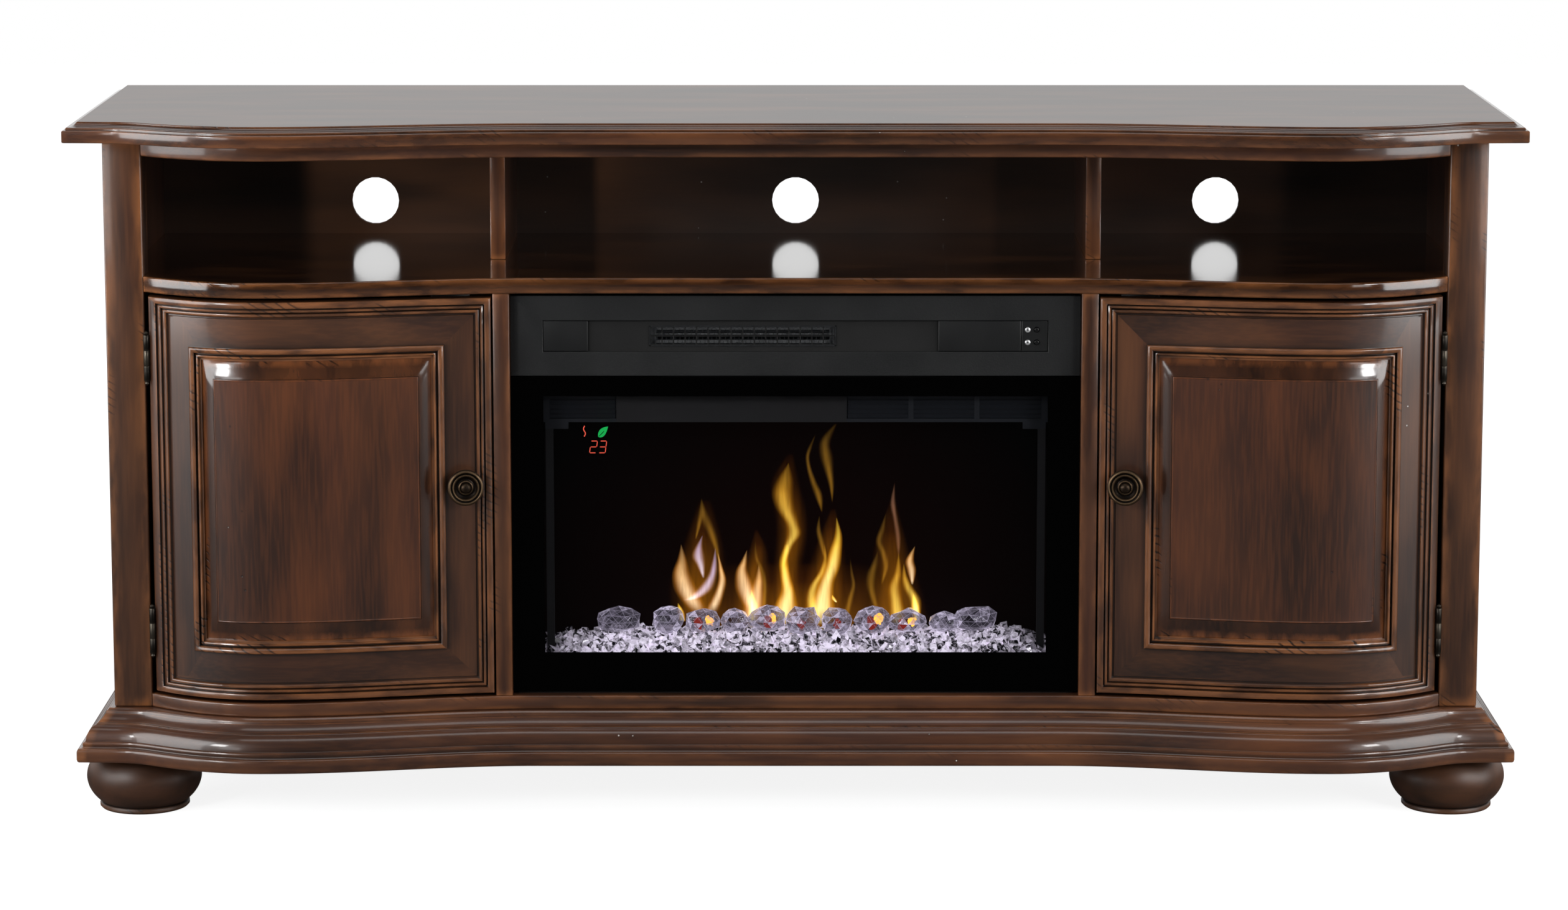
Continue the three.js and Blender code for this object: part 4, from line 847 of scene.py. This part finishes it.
def vent_mesh():
    """Expanded hexagonal mesh over the air outlet, in a folded rim."""
    bm = bmesh.new()
    middle = (GRILLE[0].z + GRILLE[1].z) / 2
    radius = MESH_CELL / math.sqrt(3)
    rows = int(MESH_TALL / (1.5 * radius))
    columns = int((MESH_TO - MESH_FROM) / MESH_CELL)
    for row in range(rows):
        for column in range(columns):
            x = MESH_FROM + (column + 0.5 + 0.5 * (row % 2)) * MESH_CELL
            z = middle + (row - (rows - 1) / 2) * 1.5 * radius
            place = (Matrix.Translation((x, GRILLE[0].y, z)) @ Matrix.Rotation(math.pi / 2, 4, "X")
                     @ Matrix.Rotation(math.pi / 6, 4, "Z"))
            bmesh.ops.create_circle(bm, cap_ends=True, segments=6, radius=radius, matrix=place)
    bmesh.ops.remove_doubles(bm, verts=bm.verts, dist=radius / 20)
    cells = list(bm.faces)
    bmesh.ops.inset_individual(bm, faces=cells, thickness=MESH_WIRE / 2)
    bmesh.ops.delete(bm, geom=cells, context="FACES")
    bmesh.ops.solidify(bm, geom=bm.faces, thickness=MESH_WIRE)
    rim = MESH_RIM
    low, high = middle - MESH_TALL / 2 - rim, middle + MESH_TALL / 2 + rim
    left, right = MESH_FROM - rim, MESH_TO + rim
    front, back = GRILLE[0].y - MESH_PROUD, GRILLE[0].y
    for corner, other in (((left, low), (right, low + rim)), ((left, high - rim), (right, high)),
                          ((left, low), (left + rim, high)), ((right - rim, low), (right, high))):
        block(bm, (corner[0], front, corner[1]), (other[0], back, other[1]))
    finish_mesh("vent_wire_mesh", bm, "cabinet", (), [MESH_BLACK], flat=True)


def controls():
    """Two screw heads with a round recess on the control plate, over the CAD ones, and the push buttons."""
    bm = bmesh.new()
    turns = [(0, 0), (1, 0), (1, 0.5), (0.8, 0.85), (0.3, 1), (0.24, 0.5), (0, 0.5)]
    for z in BUTTON_ZS:
        place = (Matrix.Translation((SCREW_X, CONTROL[0].y + SCREW_BACK, z))
                 @ Matrix.Rotation(math.pi / 2, 4, "X"))
        turned(bm, [(SCREW_HEAD * r, SCREW_PROUD * h) for r, h in turns], place, 24)
    finish_mesh("control_screws", bm, "cabinet", (), [SCREW_STEEL])
    for level in ("lower", "upper"):
        eased(f"push_button_{level}", f"button_{level}", 0.0006, [BUTTON_BLACK], 3)


LOUVRE_BLOCKS = [(-0.2835, -0.208), (0.0605, 0.13), (0.136, 0.206), (0.212, 0.2835)]
LOUVRE_STRIP = (-0.2065, 0.059)
LOUVRE_OPEN = (0.459, 0.488)
LOUVRE_WALL = 0.0015
SLAT_PITCH = 0.0056
SLAT_HALF = 0.0022
SLAT_TILT = 0.35
TAB = (0.262, 0.2885)
TAB_LOW = 0.447
SIDE_STRIP = (0.2795, 0.2885)
SIDE_STRIP_DEPTH = (-0.1225, -0.119)


def louvre_slats():
    """The louvre panel: slanted slats in a navy frame, a plain strip between its blocks, and end tabs."""
    low, high = LOUVRES
    bm = bmesh.new()
    block(bm, (low.x, high.y - 0.001, low.z), (high.x, high.y, high.z))
    wall = low.y + LOUVRE_WALL
    block(bm, (low.x, low.y, low.z), (high.x, wall, LOUVRE_OPEN[0]))
    block(bm, (low.x, low.y, LOUVRE_OPEN[1]), (high.x, wall, high.z))
    ends = [low.x] + [x for pair in LOUVRE_BLOCKS for x in pair] + [high.x]
    for left, right in zip(ends[::2], ends[1::2]):
        if right - left < 0.05:
            block(bm, (left, low.y, LOUVRE_OPEN[0]), (right, wall, LOUVRE_OPEN[1]))
    for left, right in LOUVRE_BLOCKS:
        for row in range(5):
            z = LOUVRE_OPEN[0] + SLAT_PITCH * (row + 0.5)
            block(bm, (left, low.y + 0.0002, z - SLAT_HALF), (right, low.y + 0.001, z + SLAT_HALF),
                  Matrix.Rotation(SLAT_TILT, 4, "X"))
    for sign in SIDES.values():
        inner, outer = sorted(sign * x for x in TAB)
        block(bm, (inner, low.y, TAB_LOW), (outer, wall, low.z))
    finish_mesh("louvre_slats", bm, "cabinet", ["louvre_panel"], [LOUVRE_NAVY],
                flat=True)
    bm = bmesh.new()
    block(bm, (LOUVRE_STRIP[0], low.y - 0.0002, low.z), (LOUVRE_STRIP[1], wall, high.z))
    finish_mesh("louvre_plain_strip", bm, "cabinet", (), [STRIP_GREY], flat=True)
    bm = bmesh.new()
    for sign in SIDES.values():
        inner, outer = sorted(sign * x for x in SIDE_STRIP)
        block(bm, (inner, SIDE_STRIP_DEPTH[0], BED[0].z), (outer, SIDE_STRIP_DEPTH[1], TAB_LOW))
    finish_mesh("chamber_side_strips", bm, "cabinet", (), [EDGE_GREY])


# Flame tongues: the kind, how far each stands before the screen, and its run from foot to tip in mm
# across, up and half width
TONGUES = [
    ("halo", 0.0006, [(0, 190, 165), (0, 215, 160), (0, 245, 135), (0, 275, 90)]),
    ("halo", 0.0008, [(-112, 205, 34), (-114, 250, 36), (-108, 300, 24), (-106, 350, 8)]),
    ("halo", 0.001, [(-50, 208, 22), (-50, 250, 22), (-44, 290, 12), (-46, 315, 2)]),
    ("halo", 0.001, [(-10, 205, 24), (-10, 260, 18), (-4, 320, 20), (-12, 370, 18), (-6, 405, 4)]),
    ("halo", 0.001, [(32, 205, 32), (36, 260, 26), (42, 310, 14), (44, 340, 3)]),
    ("halo", 0.001, [(118, 205, 42), (116, 250, 32), (112, 300, 20), (114, 350, 4)]),
    ("peach", 0.003, [(-114, 218, 12), (-126, 239, 15), (-131, 251, 14), (-134, 265, 11),
        (-133, 281, 6), (-134, 298, 0.4)]),
    ("lilac", 0.0034, [(-126, 231, 9), (-116, 237, 11.5), (-106, 246, 10.5), (-98, 261, 6.5),
        (-95, 277, 4), (-94, 294, 0.4)]),
    ("lilac", 0.0038, [(-108, 258, 1.5), (-111, 273, 6), (-114, 284, 8.5), (-113, 296, 5),
        (-109, 309, 0.4)]),
    ("dim", 0.0018, [(-89, 274, 1.5), (-93, 294, 4.5), (-98, 310, 7), (-104, 325, 7.5),
        (-108, 338, 5.5), (-110, 353, 0.4)]),
    ("dim", 0.0022, [(-117, 304, 1), (-113, 322, 4), (-110, 336, 4.5), (-110, 352, 0.4)]),
    ("peach", 0.0026, [(-99, 217, 9.5), (-90, 239, 7), (-86, 255, 5.5), (-88, 271, 3), (-91, 288, 0.4)]),
    ("bright", 0.003, [(-133, 206, 4.5), (-135, 218, 4.5), (-138, 228, 0.4)]),
    ("peach", 0.0024, [(-47, 212, 9.5), (-57, 239, 13), (-61, 253, 11.5), (-63, 267, 7.5),
        (-60, 279, 4), (-57, 291, 0.4)]),
    ("peach", 0.003, [(-52, 206, 15), (-48, 230, 13), (-45, 244, 9), (-43, 257, 6), (-43, 274, 0.4)]),
    ("bright", 0.0034, [(-52, 204, 10.5), (-49, 224, 7), (-52, 244, 0.6)]),
    ("dim", 0.0018, [(-38, 212, 4), (-36, 245, 4), (-39, 265, 4.5), (-46, 283, 3), (-47, 302, 0.4)]),
    ("bright", 0.003, [(-15, 202, 23), (-11, 227, 14.5), (-9, 243, 9), (-12, 261, 7), (-14, 279, 6),
        (-10, 298, 3.5)]),
    ("gold", 0.0026, [(-15, 270, 3.5), (-9, 294, 6), (-2, 310, 9.5), (-4, 323, 9), (-12, 342, 12.5),
        (-15, 360, 13.5), (-12, 377, 10), (-8, 395, 0.4)]),
    ("bright", 0.0034, [(30, 202, 22), (32, 230, 15), (36, 252, 10.5), (43, 271, 10), (47, 291, 8),
        (50, 310, 5), (48, 330, 0.4)]),
    ("gold", 0.0024, [(22, 205, 10), (19, 233, 8), (22, 249, 6.5), (31, 265, 5), (35, 281, 3),
        (34, 298, 0.4)]),
    ("dim", 0.0018, [(35, 280, 3), (30, 302, 4.6), (27, 316, 3.6), (28, 332, 0.4)]),
    ("dim", 0.0018, [(31, 336, 1), (27, 356, 6), (21, 372, 5), (16, 388, 3.6), (14, 402, 3),
        (17, 413, 3), (23, 428, 0.4)]),
    ("dim", 0.0022, [(43, 348, 0.6), (42, 368, 4), (39, 386, 6.6), (36, 403, 9), (34, 417, 7.5),
        (38, 428, 6.5), (47, 441, 2)]),
    ("dim", 0.0022, [(58, 205, 5), (64, 232, 5), (68, 249, 3.4), (66, 264, 2.4), (64, 281, 0.4)]),
    ("bright", 0.0036, [(48, 229, 1.5), (45, 233, 3), (43, 238, 0.4)]),
    ("dim", 0.0022, [(97, 215, 4), (89, 244, 6.4), (89, 261, 7.2), (93, 275, 5), (97, 291, 0.4)]),
    ("dim", 0.0026, [(101, 250, 1.8), (106, 271, 4.6), (103, 287, 5.6), (98, 302, 5), (102, 318, 4),
        (106, 335, 0.4)]),
    ("rose", 0.0018, [(121, 284, 2), (120, 308, 4.6), (117, 328, 4.2), (114, 348, 4.4), (116, 371, 0.4)]),
    ("gold", 0.0026, [(122, 200, 13.5), (118, 229, 9.5), (116, 247, 8), (120, 265, 5), (121, 288, 0.6)]),
    ("gold", 0.003, [(141, 208, 6.5), (140, 231, 8.5), (132, 247, 7), (128, 260, 4), (127, 275, 0.4)]),
    ("bright", 0.0034, [(143, 206, 4.5), (141, 224, 5.5), (138, 240, 0.6)]),
    ("peach", 0.003, [(137, 250, 1.5), (136, 267, 6), (134, 280, 5.5), (140, 296, 0.4)]),
]
TONGUE_ROWS = 32
TONGUE_COLUMNS = 8


def smooth_run(points, t):
    """A point on the smooth curve through points, at a share of its run."""
    last = len(points) - 1
    whole = min(int(t * last), last - 1)
    f = t * last - whole
    p = [points[min(max(whole + k, 0), last)] for k in (-1, 0, 1, 2)]
    return [0.5 * (2 * b + (c - a) * f + (2 * a - 5 * b + 4 * c - d) * f * f
                   + (3 * b - a - 3 * c + d) * f ** 3) for a, b, c, d in zip(*p)]


def flames():
    """Thin curved tongues that stand for the flame image on the screen."""
    for kind, material in FLAME_MATERIALS.items():
        bm = bmesh.new()
        uv = bm.loops.layers.uv.new("flame")
        share = {}
        for name, before, points in TONGUES:
            if name != kind:
                continue
            grid = bmesh.ops.create_grid(bm, x_segments=TONGUE_COLUMNS, y_segments=TONGUE_ROWS, size=1)
            for number, vert in enumerate(grid["verts"]):
                row, column = divmod(number, TONGUE_COLUMNS + 1)
                t, u = row / TONGUE_ROWS, column / TONGUE_COLUMNS
                x, z, wide = [v * 0.001 for v in smooth_run(points, t)]
                vert.co = (x + (2 * u - 1) * max(wide, 0.0004), SCREEN[0].y - before, z)
                share[vert] = (u, t)
        for face in bm.faces:
            for loop in face.loops:
                loop[uv].uv = share[loop.vert]
        finish_mesh(f"flames_{kind}", bm, "cabinet", (), [material])


# Boulders in mm: the middle across and up, the width, the height and how much ember glows in each
ROCKS = [
    (-206, 217, 52, 30, 0.0), (-148, 218, 40, 30, 0.0), (-108, 217, 42, 29, 1.0),
    (-71, 217, 34, 29, 0.0), (-33, 219, 43, 31, 1.0), (9, 217, 41, 31, 0.3), (48, 216, 38, 30, 0.3),
    (90, 218, 43, 32, 1.0), (131, 216, 43, 28, 0.6), (173, 215, 37, 24, 0.0), (209, 219, 53, 30, 0.0),
]
ROCK_Y = -0.1
CHIP_COUNT = 1150
CHIP_SPREAD = 0.293
CHIP_DEPTH = 0.07
CHIP_SIZES = (0.0034, 0.0062)
CHIP_FLOOR = 0.185
HEAP_RISE = 0.0175


def heap(x, share):
    """The height of the heap of chips at a distance from the middle and a share of the depth."""
    ends = 1 - 0.7 * min(abs(x) / 0.292, 1) ** 8
    mound = 0.007 * math.exp(-((x - 0.245) / 0.02) ** 2)
    return CHIP_FLOOR + (HEAP_RISE * min(share / 0.4, 1) ** 0.7 + mound) * ends


def shade_faces(bm, draw, pick):
    """Gives each facet its own painted shade, light or dark, drawn from a list."""
    layer = bm.faces.layers.float.new("shade")
    for face in bm.faces:
        face[layer] = min(max(draw.choice(pick) + draw.uniform(-0.08, 0.08), 0), 1)


def crystals():
    """The bed: a heap of crushed chips, a row of clear boulders on it and embers that glow in some."""
    draw = random.Random(7)
    bm = bmesh.new()
    for _ in range(CHIP_COUNT):
        x = draw.uniform(-CHIP_SPREAD, CHIP_SPREAD)
        share = draw.random() ** 1.3
        size = draw.uniform(*CHIP_SIZES)
        y = BED[0].y + 0.0045 + share * CHIP_DEPTH
        z = heap(x, share) + draw.uniform(-0.004, 0.0)
        turn = Matrix.Rotation(draw.uniform(0, 6.28), 4, Vector((draw.gauss(0, 1), draw.gauss(0, 1), 0.6)))
        shape = Matrix.Diagonal((size * draw.uniform(0.8, 1.6), size * draw.uniform(0.6, 1.1), size, 1))
        chip = bmesh.ops.create_cone(bm, cap_ends=True, segments=draw.choice((4, 5)), radius1=1,
                                     radius2=draw.uniform(0.3, 0.8), depth=draw.uniform(0.9, 1.9),
                                     matrix=Matrix.Translation((x, y, z)) @ turn @ shape)
        for vert in chip["verts"]:
            vert.co += Vector((draw.uniform(-1, 1), draw.uniform(-1, 1), draw.uniform(-1, 1))) * size * 0.25
    floor = bmesh.ops.create_grid(bm, x_segments=40, y_segments=6, size=0.5)["verts"]
    for vert in floor:
        share = vert.co.y + 0.5
        x = vert.co.x * 0.59
        vert.co = (x, BED[0].y + 0.002 + share * 0.078, heap(x, share) - 0.0035)
    shade_faces(bm, draw, (0.0, 0.1, 0.35, 0.5, 0.65, 0.8, 1.0, 1.0))
    finish_mesh("crystal_chips", bm, "cabinet", ["ember_bed"], [CHIPS], flat=True)

    bm = bmesh.new()
    glow = bmesh.new()
    red = bmesh.new()
    for x, z, wide, tall, warm in ROCKS:
        place = Vector((x, ROCK_Y * 1000 - draw.uniform(-3, 3), z)) * 0.001
        wide, tall = wide * 0.0005, tall * 0.0005
        shape = Matrix.Diagonal((wide, min(wide, 0.021), tall, 1))
        rock = bmesh.ops.create_icosphere(bm, subdivisions=2, radius=1,
                                          matrix=Matrix.Translation(place) @ shape)
        for vert in rock["verts"]:
            away = vert.co - place
            cut = ripple.noise(away.normalized() * 1.4 + place * 90)
            vert.co = place + away * (1 + 0.2 * cut + draw.uniform(-0.09, 0.09))
        embers = ((glow, 0.3, 0.2, 0.0), (red, 0.36, -0.1, -0.2)) if warm > 0.5 else (
            (red, 0.3, -0.1, -0.3),)
        for lights, part, over, up in embers if warm else ():
            size = Matrix.Diagonal((wide * part * 0.7, wide * part * 0.5, tall * part * 1.3, 1))
            spot = place + Vector(((over + draw.uniform(-0.2, 0.2)) * wide, -0.3 * wide, up * tall))
            ember = bmesh.ops.create_icosphere(lights, subdivisions=2, radius=1,
                                               matrix=Matrix.Translation(spot) @ size)
            for vert in ember["verts"]:
                vert.co += Vector((draw.uniform(-0.1, 0.1) * wide, 0, draw.uniform(-0.1, 0.22) * tall))
    bm.normal_update()
    # Each facet's painted light: brighter where it turns away from the front, with a random part, and
    # weaker in the boulders wider than 50 mm
    layer = bm.faces.layers.float.new("shade")
    for face in bm.faces:
        middle = min(ROCKS, key=lambda r: abs(r[0] - face.calc_center_median().x * 1000))
        rim = (1 - abs(face.normal.y)) ** 1.2
        own = draw.choice((0.01, 0.02, 0.05, 0.2, 0.7))
        face[layer] = min((own + 0.5 * rim) * (0.55 if middle[2] > 50 else 1), 1)
    finish_mesh("crystal_rocks", bm, "cabinet", (), [ROCK], flat=True)
    finish_mesh("ember_lights", glow, "cabinet", (), [EMBER])
    finish_mesh("ember_reds", red, "cabinet", (), [EMBER_RED])


# The display behind the glass: seven-segment digits, a leaf and a heat sign
DIGITS = {"2": "abged", "3": "abgcd"}
DIGIT_WIDE = 0.0074
DIGIT_TALL = 0.0138
SEGMENT = 0.00085
DISPLAY_Y = GLASS[1].y + 0.0012
DIGIT_XS = (-0.2368, -0.2262)
DIGIT_Z = 0.4228
HEAT_SIGN = (-0.2425, 0.4425)
LEAF = (-0.2268, 0.4415)


def digit(bm, letter, x, z):
    half, slant = DIGIT_TALL / 2, 0.0009
    ends = {
        "a": ((0, 2), (1, 2)), "b": ((1, 2), (1, 1)), "c": ((1, 1), (1, 0)), "d": ((0, 0), (1, 0)),
        "e": ((0, 1), (0, 0)), "g": ((0, 1), (1, 1)),
    }
    for segment in DIGITS[letter]:
        (u0, v0), (u1, v1) = ends[segment]
        a = Vector((x + u0 * DIGIT_WIDE + v0 * slant, DISPLAY_Y, z + v0 * half))
        b = Vector((x + u1 * DIGIT_WIDE + v1 * slant, DISPLAY_Y, z + v1 * half))
        way = (b - a).normalized()
        a, b = a + way * SEGMENT * 0.7, b - way * SEGMENT * 0.7
        middle, angle = (a + b) / 2, math.atan2(way.z, way.x)
        place = Matrix.Translation(middle) @ Matrix.Rotation(-angle, 4, "Y")
        size = Matrix.Diagonal(((b - a).length, SEGMENT / 2, SEGMENT, 1))
        bmesh.ops.create_cube(bm, size=1, matrix=place @ size)


def display():
    bm = bmesh.new()
    for letter, x in zip("23", DIGIT_XS):
        digit(bm, letter, x, DIGIT_Z)
    for number in range(9):
        t = number / 8
        x = HEAT_SIGN[0] + 0.0011 * math.sin(t * 2 * math.pi)
        z = HEAT_SIGN[1] + t * 0.011
        block(bm, (x - 0.0005, DISPLAY_Y - 0.0003, z - 0.0008),
              (x + 0.0005, DISPLAY_Y + 0.0003, z + 0.0008))
    finish_mesh("display_red", bm, "cabinet", (), [DISPLAY_RED], flat=True)
    bm = bmesh.new()
    rows, columns = 14, 10
    grid = bmesh.ops.create_grid(bm, x_segments=columns, y_segments=rows, size=1)["verts"]
    for number, vert in enumerate(grid):
        row, column = divmod(number, columns + 1)
        t, u = row / rows, 2 * column / columns - 1
        wide = 0.005 * math.sin(math.pi * min(t * 1.02, 1)) ** 0.7 * (1.15 - 0.55 * t)
        vert.co = (LEAF[0] + t * 0.0115 + u * wide * 0.5, DISPLAY_Y, LEAF[1] + t * 0.012 - u * wide * 0.8)
    slit = []
    for number, face in enumerate(bm.faces):
        row, column = divmod(number, columns)
        if column == columns // 2 and row < 8:
            slit.append(face)
    bmesh.ops.delete(bm, geom=slit, context="FACES")
    finish_mesh("display_leaf", bm, "cabinet", (), [DISPLAY_GREEN], flat=True)


def dress_nodes():
    """Gives the CAD nodes that stay shown their finishes."""
    finishes = {
        "firebox_housing": HOUSING_BLACK, "vent_grille": HOUSING_BLACK, "blower_wheel": ZINC,
        "blower_motor": ZINC, "heating_element": ZINC, "flicker_rotor": ZINC, "flicker_motor": ZINC,
        "led_bar": BUTTON_BLACK, "flame_screen": SCREEN_BLACK,
        "cabinet_floor": INSIDE_WOOD, "back_panel": INSIDE_WOOD, "base_rear_rail": RAIL_WOOD,
    }
    for name, material in finishes.items():
        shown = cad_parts[name]
        if not shown.material_slots:
            shown.data.materials.append(material)
        for place in shown.material_slots:
            place.material = material


def carcass():
    for side in SIDES:
        eased(f"post_{side}", "cabinet", 0.002, [POST_WOOD], 3)
        eased(f"side_panel_{side}", "cabinet", 0.0012, [END_WOOD])
        eased(f"partition_{side}", "cabinet", 0.0012, [STILE_WOOD])
        eased(f"bay_divider_{side}", "cabinet", 0.0014, [STILE_WOOD])
        eased(f"cupboard_shelf_{side}", "cabinet", 0.0006, [INSIDE_WOOD])
        eased(f"magnetic_catch_{side}", "cabinet", 0.0008, [BUTTON_BLACK])
        eased(f"strike_plate_{side}", f"door_{side}", 0.0004, [ZINC])


def firebox():
    eased("firebox_trim", "cabinet", 0.0013, [TRIM_STEEL])
    eased("firebox_glass", "cabinet", 0.0004, [GLASS_PANE], 1)
    eased("vent_cover_left", "cabinet", 0.0009, [COVER_STEEL])
    eased("vent_cover_right", "cabinet", 0.0009, [COVER_STEEL])
    eased("control_plate", "cabinet", 0.0002, [COVER_STEEL], 1)


# Studio
CAMERA_AT = (0, -5.5728, 1.3865)
CAMERA_DOWN = math.radians(9.344)
CAMERA_LENS = 110.08
CAMERA_SHIFT = (-0.00734, -0.04)
FLOOR_HALF = 9


def studio():
    """The camera at the photograph's angle, soft boxes on all sides and narrow lamps for the bays."""
    data = bpy.data.cameras.new("camera")
    data.lens = CAMERA_LENS
    data.sensor_width = 36
    data.shift_x, data.shift_y = CAMERA_SHIFT
    camera = bpy.data.objects.new("camera", data)
    camera.location = CAMERA_AT
    camera.rotation_euler = (math.pi / 2 - CAMERA_DOWN, 0, 0)
    bpy.context.scene.collection.objects.link(camera)
    bpy.context.scene.camera = camera
    middle = (0, -0.1, 0.4)
    lamps = {
        "soft_box_left": ("AREA", (-3.3, -3.9, 2.0), middle, (0.8, 0.9), 66),
        "soft_box_right": ("AREA", (3.3, -3.9, 2.0), middle, (0.8, 0.9), 58),
        "low_box_left": ("AREA", (-2.9, -4.6, 1.15), middle, (1.3, 0.8), 10),
        "low_box_right": ("AREA", (2.9, -4.6, 1.15), middle, (1.3, 0.8), 8),
        "side_box_left": ("AREA", (-3.1, -1.4, 1.2), middle, (2.0, 2.2), 66),
        "side_box_right": ("AREA", (3.1, -1.4, 1.2), middle, (2.0, 2.2), 66),
        "top_light": ("AREA", (0, -1.2, 3.0), middle, (3.0, 0.8), 16),
        "rear_box_left": ("AREA", (-3.2, 2.8, 1.7), middle, (1.2, 1.2), 45),
        "rear_box_right": ("AREA", (3.2, 2.8, 1.7), middle, (1.2, 1.2), 45),
        "bay_spot_left": ("SPOT", (-1.9, -3.4, 0.95), (-0.45, 0.2, 0.69), (5, 0.25), 1500),
        "bay_spot_right": ("SPOT", (1.9, -3.4, 0.95), (0.45, 0.2, 0.69), (5, 0.25), 420),
    }
    for name, (kind, place, target, size, power) in lamps.items():
        lamp = bpy.data.lights.new(name, kind)
        lamp.energy = power
        if kind == "AREA":
            lamp.shape = "RECTANGLE"
            lamp.size, lamp.size_y = size
        else:
            lamp.spot_size, lamp.shadow_soft_size = math.radians(size[0]), size[1]
            lamp.spot_blend = 1
        holder = bpy.data.objects.new(name, lamp)
        holder.location = place
        aim = Vector(target) - Vector(place)
        holder.rotation_euler = aim.to_track_quat("-Z", "Y").to_euler()
        holder.visible_camera = False
        holder.visible_glossy = kind == "AREA" and "rear" not in name
        bpy.context.scene.collection.objects.link(holder)


def backdrop():
    """A pale floor that keeps the shadow, and a white surround that is dim on the camera's side."""
    made, tree = blank("pale_studio_floor")
    rays = node(tree, "LightPath").outputs
    seen = node(tree, "Math", [rays["Is Camera Ray"], rays["Is Transmission Ray"]], operation="MAXIMUM")
    away = node(tree, "VectorMath", [node(tree, "TexCoord").outputs["Object"]], operation="LENGTH")
    pale = node(tree, "MapRange", [away.outputs["Value"], 1.1, 2.6, 0.87, 1.0])
    seen = node(tree, "Math", [seen, pale], operation="MULTIPLY")
    faint = node(tree, "Math", [rays["Is Glossy Ray"], 0.02], operation="MULTIPLY")
    strength = node(tree, "Math", [seen, faint], operation="ADD")
    white = node(tree, "Emission", {"Color": linear("#ffffff"), "Strength": strength})
    card = node(tree, "BsdfDiffuse", [painted(tree, "#adadad", [(rays["Is Glossy Ray"], 1, "#595959")])])
    node(tree, "OutputMaterial", {"Surface": node(tree, "AddShader", [card, white])})
    bm = bmesh.new()
    bmesh.ops.create_grid(bm, x_segments=1, y_segments=1, size=FLOOR_HALF)
    mesh = bpy.data.meshes.new("floor")
    bm.to_mesh(mesh)
    bm.free()
    mesh.materials.append(made)
    floor = bpy.data.objects.new("floor", mesh)
    bpy.context.scene.collection.objects.link(floor)

    world = bpy.data.worlds.new("studio")
    world.use_nodes = True
    tree = world.node_tree
    tree.nodes.clear()
    rays = node(tree, "LightPath").outputs
    way = node(tree, "SeparateXYZ", [node(tree, "TexCoord").outputs["Generated"]])
    behind = node(tree, "MapRange", [way.outputs["Y"], 0.0, 0.5, 0.0, 0.95])
    seen = node(tree, "Math", [rays["Is Camera Ray"], rays["Is Transmission Ray"]], operation="MAXIMUM")
    plain, glossy, white = [node(tree, "Background", [linear("#ffffff"), level])
                            for level in (0.12, behind, 1.0)]
    unseen = node(tree, "MixShader", [rays["Is Glossy Ray"], plain, glossy])
    node(tree, "OutputWorld", {"Surface": node(tree, "MixShader", [seen, unseen, white])})
    bpy.context.scene.world = world


studio()
backdrop()
bpy.context.scene.view_settings.view_transform = "Standard"
wood_top()
wood_base()
wood_boards()
carcass()
for door_side, door_sign in SIDES.items():
    door_frame(door_side, door_sign)
    door_panel(door_side, door_sign)
    knob(door_side, door_sign)
    foot(f"bun_front_{door_side}", f"bun_foot_front_{door_side}")
    foot(f"bun_rear_{door_side}", f"bun_foot_rear_{door_side}")
hinge_parts()
firebox()
vent_mesh()
controls()
louvre_slats()
flames()
crystals()
display()
dress_nodes()
